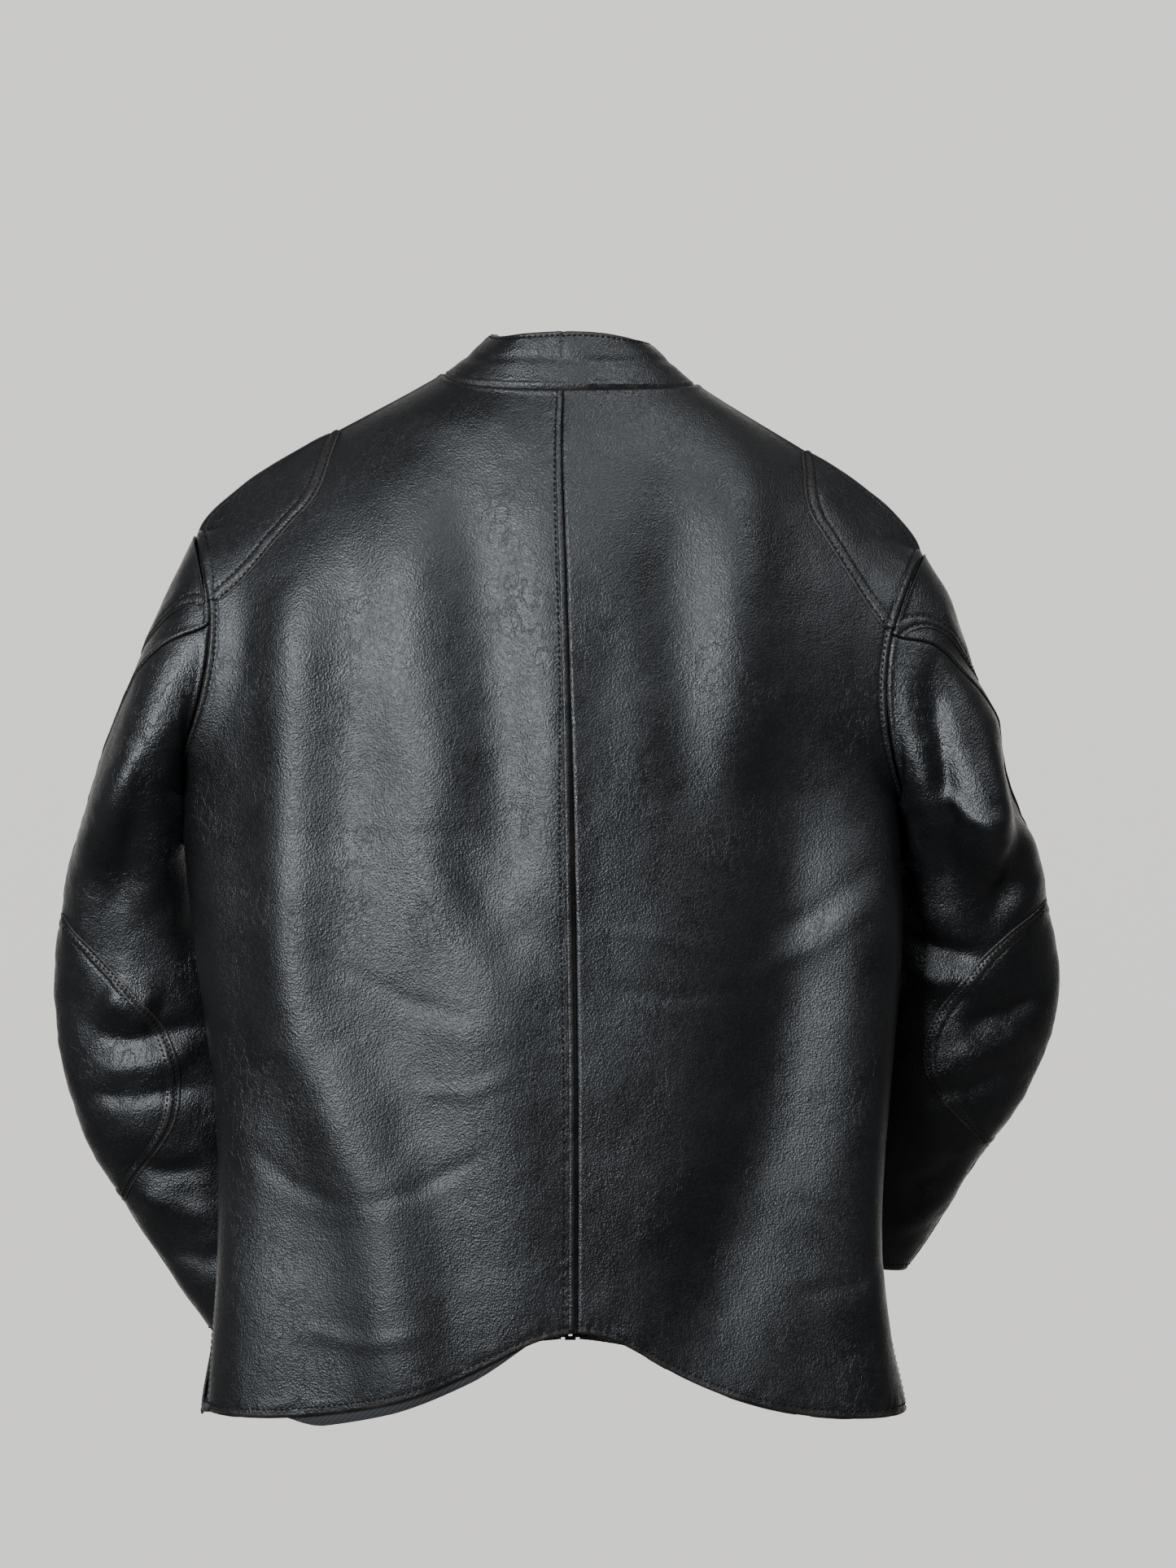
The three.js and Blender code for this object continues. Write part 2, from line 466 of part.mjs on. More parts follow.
// a notch keeps the bottom box clear of the tapes
{
  const boxMesh = jacket.children[jacket.children.length - 1];
  for (const s of SIGN) boxMesh.geometry = cut(boxMesh.geometry, box(s * 6 - 2.8, s * 6 + 2.8, zipFace - 0.3, zipFace + 1.1, zipBottom - 2, zipBottom + 14));
}

// a slider: two plates and a web, with two ears in front; built lying on z = 0, sliding along y
function sliderBody({ width, height, plate, web }, thick, clear) {
  const w = width / 2, h = height / 2, front = thick + clear;
  return join(
    box(-w, w, -h, h, front, front + plate),
    box(-w * 0.86, w * 0.86, -h * 0.86, h * 0.86, -clear - plate, -clear),
    box(-web / 2, web / 2, h * 0.2, h * 0.8, -clear - plate * 0.5, front + plate * 0.5),
    box(-2.3, -1.2, h - 6, h - 1.5, front + plate * 0.5, front + plate + 2.6),
    box(1.2, 2.3, h - 6, h - 1.5, front + plate * 0.5, front + plate + 2.6),
  );
}
// the pull hangs from between the ears; its tip reaches -y
function pullBody({ height, plate }, thick, clear, { width, length, thick: t }) {
  const top = height / 2 - 2.2, z = thick + clear + plate + 0.5;
  return join(box(-0.85, 0.85, top - 8, top, z, z + t), box(-width / 2, width / 2, top - length, top - 6, z, z + t));
}
{
  const upright = new THREE.Matrix4().makeBasis(V(1, 0, 0), V(0, 0, 1), V(0, -1, 0)).setPosition(0, teethFront + ZIP_THICK, zipTop - 10);
  add("zip_slider", sliderBody(SLIDER, ZIP_THICK, 0.4).applyMatrix4(upright), metal);
  add("zip_pull", pullBody(SLIDER, ZIP_THICK, 0.4, PULL).applyMatrix4(upright), metal);
}

// ---------------------------------------------------------------- pockets
// frame of a pocket: x across, y up along the zip, z out of the front, origin on the leather's face
function pocketFrame({ side, across, up, tilt }) {
  const s = SIGN[side], at = front(s * across, up);
  const a = front(s * across, up + 0.12).sub(front(s * across, up - 0.12)).normalize();
  const b = front(s * across + 0.02, up).sub(front(s * across - 0.02, up)).normalize();
  const n = b.clone().cross(a).normalize();
  const along = a.clone().applyAxisAngle(n, -s * tilt * RAD);
  return new THREE.Matrix4().makeBasis(along.clone().cross(n), along, n).setPosition(at);
}
const POCKET_SLIDER = { width: 7.6, height: 10.5, plate: 1.2, web: 0.7 };
const POCKET_PULL = { width: 5.6, length: 22, thick: 1.4 };
const STAND = 1.9; // zip above the leather, so that the straight zip clears its curve

for (const [name, pocket] of Object.entries(POCKETS)) {
  const frame = pocketFrame(pocket), L = pocket.length, s = SIGN[pocket.side];
  const rect = (w, l) => new THREE.Shape([[-w, -l], [w, -l], [w, l], [-w, l]].map(([x, y]) => new THREE.Vector2(x / 2, y / 2)));

  const zip = rect(POCKET_ZIP.width, L + 14), slit = new THREE.Path(), half = POCKET_ZIP.slit / 2, pitch = (L - 6) / POCKET_ZIP.teeth;
  slit.moveTo(half, -L / 2 + 3);
  for (let i = 0; i < POCKET_ZIP.teeth; i++) {
    const y = -L / 2 + 3 + i * pitch;
    slit.lineTo(half + 0.9, y + pitch * 0.25).lineTo(half + 0.9, y + pitch * 0.75).lineTo(half, y + pitch);
  }
  slit.lineTo(-half, L / 2 - 3).lineTo(-half, -L / 2 + 3);
  zip.holes.push(slit);
  add(`${name}_zip`, new THREE.ExtrudeGeometry(zip, { depth: POCKET_ZIP.thick, bevelEnabled: false }).translate(0, 0, STAND).applyMatrix4(frame), tapeCloth);

  const welt = rect(WELT.width, L + 24);
  welt.holes.push(new THREE.Path([[-1, -1], [-1, 1], [1, 1], [1, -1]].map(([x, y]) => new THREE.Vector2((x * WELT.slot) / 2, (y * L) / 2))));
  add(`${name}_welt`, new THREE.ExtrudeGeometry(welt, { depth: WELT.thick, bevelEnabled: false }).translate(0, 0, STAND + POCKET_ZIP.thick + 0.35).applyMatrix4(frame), leather);

  const up = new THREE.Matrix4().makeTranslation(0, L / 2 - 12, STAND).premultiply(frame);
  add(`${name}_slider`, sliderBody(POCKET_SLIDER, POCKET_ZIP.thick, 0.35).applyMatrix4(up), metal);
  add(`${name}_pull`, pullBody(POCKET_SLIDER, POCKET_ZIP.thick, 0.35, POCKET_PULL).applyMatrix4(up), metal);

  // the bag: a folded cloth behind the slot, its fold towards the zip of the jacket
  const lowRow = pocket.up - (L / 2 + 24) / 440, highRow = pocket.up + (L / 2 - 6) / 440;
  const bag = (p, q) => {
    const away = p < 1 ? mix(-0.004, POCKET_DEPTH, p) : p > 2 ? mix(POCKET_DEPTH, -0.03, p - 2) : POCKET_DEPTH + 0.005 * Math.sin((p - 1) * Math.PI);
    const depth = p < 1 ? 3 : p > 2 ? 5.2 : mix(3, 5.2, (1 - Math.cos((p - 1) * Math.PI)) / 2);
    const u = s * (pocket.across - away), e = 1e-3;
    const n = front(u + e, q).sub(front(u - e, q)).cross(front(u, q + e).sub(front(u, q - e))).normalize();
    return front(u, q).addScaledVector(n, -depth);
  };
  add(`${name}_bag`, sheet(bag, [0, 0.33, 0.66, 1, 1.33, 1.66, 2, 2.33, 2.66, 3], range(lowRow, highRow, 5), s, -0.25, 0.25), pocketing);
}

export default jacket;
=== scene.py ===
"""Builds a leather riding jacket, hung up by its neck, over the frame of its CAD model."""

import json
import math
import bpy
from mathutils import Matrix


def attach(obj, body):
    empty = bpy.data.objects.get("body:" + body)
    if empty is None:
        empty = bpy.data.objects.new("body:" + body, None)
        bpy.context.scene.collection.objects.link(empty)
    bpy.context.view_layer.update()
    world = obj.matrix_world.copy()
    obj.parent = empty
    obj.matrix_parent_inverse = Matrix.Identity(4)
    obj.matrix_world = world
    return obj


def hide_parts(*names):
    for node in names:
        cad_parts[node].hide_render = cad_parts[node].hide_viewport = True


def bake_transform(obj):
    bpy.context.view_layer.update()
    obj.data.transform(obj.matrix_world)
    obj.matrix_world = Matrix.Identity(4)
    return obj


bl_info = {
    "name": "Leather Riding Jacket",
    "version": (1, 0, 0),
    "blender": (4, 5, 0),
    "location": "View3D > Sidebar > Jacket",
    "description": "Builds a hanging leather riding jacket piece by piece",
    "category": "Add Mesh",
}

import bmesh
import bpy
import numpy as np
from bpy.props import FloatProperty, FloatVectorProperty, PointerProperty
from bpy.types import Operator, Panel, PropertyGroup
from mathutils import Vector

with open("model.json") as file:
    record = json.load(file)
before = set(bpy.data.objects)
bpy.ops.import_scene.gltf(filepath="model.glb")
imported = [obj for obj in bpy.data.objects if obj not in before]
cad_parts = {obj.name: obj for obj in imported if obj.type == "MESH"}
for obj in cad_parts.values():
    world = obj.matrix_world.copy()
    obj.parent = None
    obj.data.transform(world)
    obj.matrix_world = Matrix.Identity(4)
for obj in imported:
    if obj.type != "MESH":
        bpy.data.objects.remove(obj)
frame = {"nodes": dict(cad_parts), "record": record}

MM = 0.001
SIDES = ("left", "right")
SIGN = (1, -1)


# ---------------------------------------------------------------- sizes and looks
class JacketBody(PropertyGroup):
    """Sizes of the body, in millimetres. Pairs are the wearer's left and right."""

    back_length: FloatProperty(name="Back length", default=686)
    side_drop: FloatProperty(name="Hem drop at the sides", default=67)
    front_hem_drop: FloatProperty(name="Front hem drop", default=30)
    front_side_drop: FloatProperty(name="Front hem drop at the side", default=42)
    arm_depth: FloatVectorProperty(name="Depth of the underarm", size=2, default=(291, 311))
    chest_half: FloatVectorProperty(name="Half chest", size=2, default=(291, 246))
    waist_half: FloatVectorProperty(name="Half waist", size=2, default=(259, 226))
    hem_half: FloatVectorProperty(name="Half hem", size=2, default=(269, 248))
    vent_spread: FloatVectorProperty(name="Vent spread", size=2, default=(5, -2))
    neck_half: FloatProperty(name="Half neck", default=93)
    collar_height: FloatProperty(name="Collar height", default=42)
    collar_lean: FloatProperty(name="Collar lean", default=35)
    leather: FloatProperty(name="Leather thickness", default=1.5)


class JacketLook(PropertyGroup):
    """Finish of the leather, cloth and metal."""

    grain: FloatProperty(name="Grain height", default=0.00026, precision=5)
    grain_size: FloatProperty(name="Grain size", default=1.5)
    gloss: FloatProperty(name="Leather roughness", default=0.4, min=0, max=1)
    wear: FloatProperty(name="Wear at edges", default=0.75, min=0, max=1)
    fold_depth: FloatProperty(name="Fold depth", default=1.0)
    stitch_length: FloatProperty(name="Stitch length", default=4.5)
    fineness: FloatProperty(name="Mesh fineness", default=1.0, min=0.2, max=1.5)


def sizes():
    return bpy.context.scene.jacket_body


def look():
    return bpy.context.scene.jacket_look


# ---------------------------------------------------------------- numbers
def mix(a, b, t):
    return a + (b - a) * t


def smooth(a, b, t):
    s = np.clip((np.asarray(t, float) - a) / (b - a), 0, 1)
    return s * s * (3 - 2 * s)


def bell(distance, width):
    return np.exp(-((distance / width) ** 2))


def through(values, t):
    """A smooth curve through evenly numbered values; it runs on straight past its ends."""
    values, t = np.asarray(values, float), np.asarray(t, float)
    last = len(values) - 1
    i = np.clip(np.floor(t).astype(int), 0, last - 1)
    f = np.clip(t, 0, last) - i
    padded = np.concatenate([[2 * values[0] - values[1]], values, [2 * values[-1] - values[-2]]])
    a, b, c, d = (padded[i + n] for n in range(4))
    y = b + 0.5 * f * (c - a + f * (2 * a - 5 * b + 4 * c - d + f * (3 * (b - c) + d - a)))
    below = values[0] + (values[1] - values[0]) * t
    above = values[-1] + (values[-1] - values[-2]) * (t - last)
    return np.where(t < 0, below, np.where(t > last, above, y))


def stack(x, y, z):
    return np.stack(np.broadcast_arrays(x, y, z), -1)


def noise(p, scale, seed=0):
    """Smooth value noise from -1 to 1 at points p, with features about scale across."""
    q = np.asarray(p, float) / scale + seed * 17.31
    i = np.floor(q).astype(np.int64)
    f = q - i
    f = f * f * (3 - 2 * f)
    total = 0
    for dx in (0, 1):
        for dy in (0, 1):
            for dz in (0, 1):
                h = (i[..., 0] + dx) * 374761393 + (i[..., 1] + dy) * 668265263
                h = h + (i[..., 2] + dz) * 1274126177
                h = (h ^ (h >> 13)) * 1103515245 & 0x7FFFFFFF
                h = (h ^ (h >> 16)) & 0xFFFF
                share = 1
                for c, corner in enumerate((dx, dy, dz)):
                    share = share * (f[..., c] if corner else 1 - f[..., c])
                total = total + share * (h / 32767.5 - 1)
    return total


def folds(x, z, table):
    """Sum of soft ridges and valleys: rows of (height, half width, points along the line)."""
    total = np.zeros(np.shape(x))
    for height, width, line in table:
        line = np.asarray(line, float)
        step = np.linalg.norm(np.diff(line, axis=0), axis=1)
        run = np.concatenate([[0], np.cumsum(step)])
        best, along = np.full(np.shape(x), 1e9), np.zeros(np.shape(x))
        for (ax, az), (bx, bz), s, length in zip(line, line[1:], run, step):
            t = np.clip(((x - ax) * (bx - ax) + (z - az) * (bz - az)) / length**2, 0, 1)
            d = np.hypot(x - ax - t * (bx - ax), z - az - t * (bz - az))
            near = d < best
            best, along = np.where(near, d, best), np.where(near, s + t * length, along)
        taper = smooth(0, 0.3, along / run[-1]) * smooth(1, 0.7, along / run[-1])
        total += height * taper * bell(best, width)
    return total


# ---------------------------------------------------------------- the jacket's surfaces, in millimetres
SHOULDER_TIP = ((274, -113), (259, -127))
SHOULDER_CROWN = (45, 50)
ARMHOLE_HALF_DEPTH, ARMHOLE_Y = 50, -2
ARMHOLE_BOW = (20, 22)
NECK_SIDE_Z = (7, -1)
FRONT_Y, SIDE_Y, ZIP_EDGE, FRONT_NECK_DROP = -78, 5, 7, 64
VENT_HEIGHT = 66
# the hem below the back length, which is measured from under the collar
HEM_BELOW = 7


def armhole(k, degrees):
    """Round the armhole: 0 at the top, 90 at the back, 180 under the arm, -90 in front."""
    s = sizes()
    tip_x, tip_z = SHOULDER_TIP[k]
    c, sn = np.cos(np.radians(degrees)), np.sin(np.radians(degrees))
    low = (1 - c) / 2
    x = mix(tip_x, s.chest_half[k] + 1, low) - ARMHOLE_BOW[k] * sn**2
    return stack(SIGN[k] * x, ARMHOLE_Y + ARMHOLE_HALF_DEPTH * sn, mix(tip_z, -s.arm_depth[k], low))


def outer_edge(k, v, face):
    s = sizes()
    waist, chest = s.waist_half[k], s.chest_half[k]
    above = mix(waist, chest, 0.5) + (4, 8)[k]
    widths = through([s.hem_half[k], waist + 1, waist + (4, 7)[k], above, chest], v * 4)
    low = -s.back_length - HEM_BELOW - (s.side_drop if face > 0 else s.front_hem_drop + s.front_side_drop)
    vent = 1 - smooth(0, VENT_HEIGHT / (s.arm_depth[k] * 1.6), v)
    side = stack(
        SIGN[k] * (widths + vent * s.vent_spread[k] * (-0.3 if face > 0 else 1)),
        SIDE_Y * (1 - v) + ARMHOLE_Y * v + vent * (2 if face > 0 else -6),
        mix(low, -s.arm_depth[k], v),
    )
    arm = armhole(k, face * 180 * (2 - v))
    t = np.clip(v - 2, 0, 1)
    tip_x, tip_z = SHOULDER_TIP[k]
    shoulder = stack(
        SIGN[k] * mix(tip_x, s.neck_half, t),
        mix(ARMHOLE_Y, 0, t),
        mix(tip_z, NECK_SIDE_Z[k], t) + SHOULDER_CROWN[k] * np.sqrt(t) * (1 - t) ** 1.5,
    )
    v = np.asarray(v)[..., None]
    return np.where(v < 1, side, np.where(v < 2, arm, shoulder))


def body(face, k, u, v):
    """A point of the back (face 1) or front (face -1) on side k.

    u runs from 0 at the centre to 1 at the edge; v is 0 at the hem, 1 at the underarm,
    2 at the shoulder tip and 3 at the neck.
    """
    s = sizes()
    u, v = np.broadcast_arrays(np.asarray(u, float), np.asarray(v, float))
    under = -(s.arm_depth[0] + s.arm_depth[1]) / 2
    if face > 0:
        low, tip, neck, power = -s.back_length - HEM_BELOW, -112, -10.5, 2.9
        cx = through([-6, -6, -3, 0, 3, 6, 5], v * 2)
        cy = through([70, 80, 86, 84, 79, 68, 50], v * 2)
    else:
        low, tip = -s.back_length - HEM_BELOW - s.front_hem_drop, -125
        neck, power = -FRONT_NECK_DROP, 1.4
        cx, cy = SIGN[k] * ZIP_EDGE, FRONT_Y
    upper = np.where(v < 2, mix(under, tip, v - 1), mix(tip, neck, v - 2))
    cz = np.where(v < 1, mix(low, under, v), upper)
    edge = outer_edge(k, v, face)
    a = np.minimum(u, 1.02)
    # round in section below the arms and at the neck, nearly flat across the shoulder blades
    roundness = np.where(v < 2, mix(1, 0.12, smooth(0.7, 1.5, v)), mix(0.12, 1, smooth(2.1, 3, v) ** 1.5))
    sine, cosine = np.sin(a * np.pi / 2), np.cos(a * np.pi / 2)
    along = mix(a, sine, roundness)
    deep = mix(1 - a**2.2, np.sign(cosine) * np.abs(cosine) ** 0.9, roundness)
    hem = (1 - np.maximum(0, 1 - along**1.3) ** power) * (1 - (0.65 * bell(along, 0.17) if face > 0 else 0))
    rise = mix(hem, a * a, np.clip(v * 1.6, 0, 1))
    return stack(mix(cx, edge[..., 0], along), mix(edge[..., 1], cy, deep), mix(cz, edge[..., 2], rise))


def collar(a, h):
    """A point of the collar: a from -2, the right front end, to 2, the left; h from 0, the seam, to 1."""
    s = sizes()
    b = np.abs(a)
    base = 0
    for k, side in enumerate((a >= 0, a < 0)):
        back = body(1, k, np.clip(b, 0, 1), 3.0)
        front = body(-1, k, np.clip(2 - b, 0, 1), 3.0)
        base = base + np.where(side[..., None], np.where((b <= 1)[..., None], back, front), 0)
    sideways = np.clip(np.abs(base[..., 0]) / s.neck_half, 0, 1)
    height = mix(s.collar_height, s.collar_height - 11, sideways**2)
    x = base[..., 0] - np.sign(base[..., 0]) * s.collar_lean * sideways**1.5 * h
    return stack(x, base[..., 1] * (1 - 0.15 * h), base[..., 2] + 0.6 + height * h)


# at each station, from the shoulder tip out and up, from the underarm out and up, middle y, half depth
SLEEVES = (
    (
        (0, 0, 0, 0, -2, 50),
        (26, -53, 0, -6, -4, 55),
        (55, -116, -0.5, -12, -8, 60),
        (84, None, -2, None, -16, 60),
        (106, -262, -16, -75, -46, 44),
        (116, -350, -42, -171, -64, 37),
        (103, -432, -50, -254, -76, 35),
        (70, -503, -76, -321, -91, 31),
        (1, -612, -123, -415, -108, 25),
    ),
    (
        (0, 0, 0, 0, -2, 50),
        (23, -43, 1, -6, -4, 55),
        (49, -113, 2, -12, -8, 60),
        (81, None, 3, None, -16, 60),
        (100, -258, -7, -65, -44, 46),
        (110, -337, -23, -151, -62, 38),
        (89, -401, -39, -219, -74, 36),
        (50, -465, -57, -281, -89, 32),
        (0, -547, -95, -349, -106, 25),
    ),
)
JOINT_STATION, JOINT_DROP = 3, 18
FRONT_SEAM, BACK_SEAM = -110, (78, 72)


def sleeve(k, g, degrees):
    """g: 0 armhole, 3 the joint, 8 the cuff; degrees round: 0 outer edge, 90 back, 180 inner edge, -90 front."""
    s = sizes()
    under, (tip_x, tip_z) = -s.arm_depth[k], SHOULDER_TIP[k]
    rows = []
    for ox, oz, ix, iz, my, depth in SLEEVES[k]:
        # both sides of the joint's station lie at one height
        outer_z = under - JOINT_DROP if oz is None else tip_z + oz
        inner_z = under - JOINT_DROP if iz is None else under + iz
        rows.append((SIGN[k] * (tip_x + ox), outer_z, SIGN[k] * (s.chest_half[k] + 1 + ix), inner_z, my, depth))
    g, degrees = np.broadcast_arrays(np.asarray(g, float), np.asarray(degrees, float))
    ox, oz, ix, iz, my, depth = (through([r[c] for r in rows], g) for c in range(6))
    # the inner side lies against the body below the underarm
    ix = ix - SIGN[k] * (3, 7)[k] * smooth(0.2, 1.2, g) * smooth(5, 3.9, g)
    c, sn = np.cos(np.radians(degrees)), np.sin(np.radians(degrees))
    near = np.maximum(0, 1 - g / JOINT_STATION)
    x = (ox + ix) / 2 + (ox - ix) / 2 * c - SIGN[k] * ARMHOLE_BOW[k] * near**2 * sn**2 + SIGN[k] * 1.2 * near
    return stack(x, my + depth * sn, (oz + iz) / 2 + (oz - iz) / 2 * c)


def back_seam(k, g):
    return BACK_SEAM[k] * (1 - smooth(-0.4, 3.4, g)) + 2


# ---------------------------------------------------------------- folds: height, half width, line of (x, z)
BACK_FOLDS = (
    (11, 29, ((192, -70), (196, -180), (200, -310), (202, -540))),
    (5.5, 38, ((126, -20), (116, -160), (102, -300), (84, -460))),
    (-6, 29, ((82, -10), (66, -150), (50, -280), (38, -420))),
    (4, 26, ((18, -60), (12, -200), (14, -330), (20, -440))),
    (-3, 18, ((96, -310), (60, -390), (20, -440))),
    (8, 44, ((72, -340), (56, -490), (44, -620), (38, -820))),
    (12, 36, ((196, -390), (184, -490), (134, -610), (102, -860))),
    (3, 32, ((234, -450), (230, -640), (226, -830))),
    (-5, 26, ((-72, -20), (-78, -180), (-88, -380))),
    (7, 28, ((-120, -10), (-124, -160), (-130, -340))),
    (-13, 40, ((-130, -150), (-164, -330), (-162, -440), (-142, -550), (-112, -650), (-76, -820))),
    (17, 40, ((-228, -220), (-220, -380), (-216, -520), (-222, -640), (-232, -850))),
    (-0.5, 4, ((235, -331), (150, -336), (20, -333))),
    (-1.0, 6, ((205, -410), (120, -452), (50, -474))),
    (-1.3, 7, ((-226, -345), (-180, -392), (-130, -415))),
    (1.3, 7, ((-228, -368), (-180, -414), (-120, -443))),
    (-1.0, 6, ((240, -556), (200, -588), (150, -606))),
    (-1.0, 6, ((-240, -636), (-200, -662), (-150, -670))),
    (1.0, 5, ((-10, -400), (-60, -408), (-120, -422))),
    (-1.0, 5, ((-10, -438), (-70, -452), (-140, -447))),
    (-0.9, 5, ((45, -554), (110, -590), (165, -604))),
    (0.9, 6, ((210, -690), (150, -702), (90, -690))),
    (-0.9, 6, ((-120, -560), (-160, -600), (-214, -622))),
    (0.8, 5, ((30, -500), (70, -520), (130, -516))),
)
FRONT_FOLDS = (
    (5, 34, ((120, -120), (126, -230), (134, -330))),
    (-5, 30, ((215, -200), (196, -320), (190, -430))),
    (6, 36, ((215, -440), (214, -560), (220, -760))),
    (-4, 24, ((95, -400), (84, -560), (80, -740))),
    (5, 34, ((-120, -120), (-124, -240), (-134, -350))),
    (-5, 30, ((-200, -220), (-182, -340), (-176, -440))),
    (6, 36, ((-205, -440), (-204, -560), (-210, -760))),
    (-4, 24, ((-90, -400), (-80, -560), (-76, -740))),
)
SLEEVE_FOLDS = (
    (
        (5.5, 16, ((352, -452), (334, -462), (306, -470))),
        (-4, 9, ((372, -484), (330, -490), (262, -478))),
        (3, 9, ((368, -512), (330, -512), (276, -500))),
        (-3, 8, ((376, -532), (330, -534), (262, -524))),
        (-4.5, 12, ((300, -262), (318, -330), (340, -400))),
        (5, 16, ((272, -230), (292, -320), (322, -410))),
        (-6, 13, ((262, -300), (270, -380), (290, -440))),
        (3.5, 13, ((350, -330), (362, -390), (372, -430))),
        (-3, 9, ((350, -580), (310, -592), (270, -590))),
        (3, 11, ((340, -604), (300, -622), (258, -630))),
        (-3, 10, ((316, -650), (280, -662), (236, -650))),
    ),
    (
        (-8, 12, ((-262, -190), (-268, -250), (-276, -330), (-280, -400))),
        (10, 15, ((-290, -205), (-304, -260), (-312, -330), (-306, -390))),
        (-6, 10, ((-314, -250), (-330, -320), (-326, -370), (-300, -420))),
        (4, 7, ((-268, -300), (-288, -322), (-318, -330))),
        (5, 14, ((-330, -320), (-342, -370), (-336, -410))),
        (-4.5, 9, ((-236, -398), (-270, -420), (-310, -430))),
        (4, 10, ((-232, -430), (-276, -446), (-330, -442))),
        (-4.5, 9, ((-360, -452), (-330, -468), (-290, -480))),
        (3.5, 10, ((-352, -486), (-316, -498), (-280, -506))),
        (-3.5, 9, ((-340, -510), (-300, -528), (-262, -530))),
        (-3, 10, ((-300, -580), (-276, -600), (-250, -610))),
        (3, 11, ((-290, -604), (-262, -630), (-244, -640))),
    ),
)


def base_normals(points):
    """Unit normals of a grid of points; the caller turns them outwards."""
    du = np.gradient(points, axis=1)
    dv = np.gradient(points, axis=0)
    n = np.cross(du, dv)
    return n / np.maximum(np.linalg.norm(n, axis=-1, keepdims=True), 1e-9)


def edge_distances(points):
    """Distances in mm of grid points from the u=0, u=1, v=0 and v=1 edges."""
    du = np.linalg.norm(np.diff(points, axis=1), axis=-1)
    dv = np.linalg.norm(np.diff(points, axis=0), axis=-1)
    zero_u, zero_v = np.zeros((points.shape[0], 1)), np.zeros((1, points.shape[1]))
    cu = np.concatenate([zero_u, np.cumsum(du, axis=1)], axis=1)
    cv = np.concatenate([zero_v, np.cumsum(dv, axis=0)], axis=0)
    return cu, cu[:, -1:] - cu, cv, cv[-1:] - cv


def seam(d, groove=0.9, puff=0.5, at=3.2):
    """Leather tucked into a seam: a groove at the edge and a soft roll beside it."""
    return puff * bell(d - at, 2.2) - groove * bell(d, 1.3)


def spread(n, ends=0.55):
    """n + 1 grid lines from 0 to 1, closer together near both ends."""
    t = np.linspace(0, 1, n + 1)
    return mix(t, (1 - np.cos(np.pi * t)) / 2, ends)


# ---------------------------------------------------------------- building meshes
# the frame's material slot for each material
SLOTS = {
    "leather": "leather_black",
    "sleeve_leather": "leather_black",
    "thread": "leather_black",
    "lining": "lining_twill",
    "pocket": "pocket_cotton",
    "tape": "zip_tape",
    "metal": "zip_metal",
    "label": "label_cloth",
}


def linked(name, mesh):
    obj = bpy.data.objects.new(name, mesh)
    bpy.context.scene.collection.objects.link(obj)
    return obj


def piece(name, cad, points, thickness, key, wear=None, out=1, body="body", offset=-1.0):
    """A sheet over a grid of points (rows, columns, mm), thickened inwards, in place of CAD nodes.

    out is -1 where the grid's columns run the other way round the surface.
    body is what it rides on, or None to leave it unattached.
    """
    rows, columns = points.shape[:2]
    bm = bmesh.new()
    bmesh.ops.create_grid(bm, x_segments=columns - 1, y_segments=rows - 1, size=0.5, calc_uvs=True)
    mesh = bpy.data.meshes.new(name)
    bm.to_mesh(mesh)
    bm.free()
    co = np.empty(len(mesh.vertices) * 3)
    mesh.vertices.foreach_get("co", co)
    co = co.reshape(-1, 3)
    i = np.rint((co[:, 0] - co[:, 0].min()) / np.ptp(co[:, 0]) * (columns - 1)).astype(int)
    j = np.rint((co[:, 1] - co[:, 1].min()) / np.ptp(co[:, 1]) * (rows - 1)).astype(int)
    mesh.vertices.foreach_set("co", (points[:, ::out][j, i] * MM).ravel())
    if wear is not None:
        values = np.broadcast_to(np.clip(wear, 0, 1), (rows, columns))[:, ::out]
        layer = mesh.attributes.new("wear", "FLOAT", "POINT")
        layer.data.foreach_set("value", values[j, i].astype(np.float32))
    mesh.update()
    mesh.polygons.foreach_set("use_smooth", np.ones(len(mesh.polygons), bool))
    mesh.materials.append(material(key))
    obj = linked(name, mesh)
    thick = obj.modifiers.new("Thickness", "SOLIDIFY")
    thick.thickness, thick.offset, thick.use_even_offset = thickness * MM, offset, False
    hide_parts(*cad)
    if body:
        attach(obj, body)
    return obj


def place(points, normals, heights):
    return points + normals * np.asarray(heights)[..., None]


class Skin:
    """A finished surface that other pieces are laid on: points and outward normals over u and v."""

    def __init__(self, us, vs, points, out):
        self.us, self.vs, self.points = us, vs, points
        self.normals = base_normals(points) * out

    def at(self, u, v):
        u, v = np.broadcast_arrays(np.asarray(u, float), np.asarray(v, float))
        i = np.clip(np.searchsorted(self.us, u, side="right") - 1, 0, len(self.us) - 2)
        j = np.clip(np.searchsorted(self.vs, v, side="right") - 1, 0, len(self.vs) - 2)
        fu = ((u - self.us[i]) / (self.us[i + 1] - self.us[i]))[..., None]
        fv = ((v - self.vs[j]) / (self.vs[j + 1] - self.vs[j]))[..., None]
        found = []
        for a in (self.points, self.normals):
            low = a[j, i] * (1 - fu) + a[j, i + 1] * fu
            high = a[j + 1, i] * (1 - fu) + a[j + 1, i + 1] * fu
            found.append(low * (1 - fv) + high * fv)
        points, normals = found
        return points, normals / np.linalg.norm(normals, axis=-1, keepdims=True)

    def line(self, u, v, lift=0.1):
        """A line over the skin: its points and normals."""
        points, normals = self.at(u, v)
        return points + normals * lift, normals


SKINS = {}


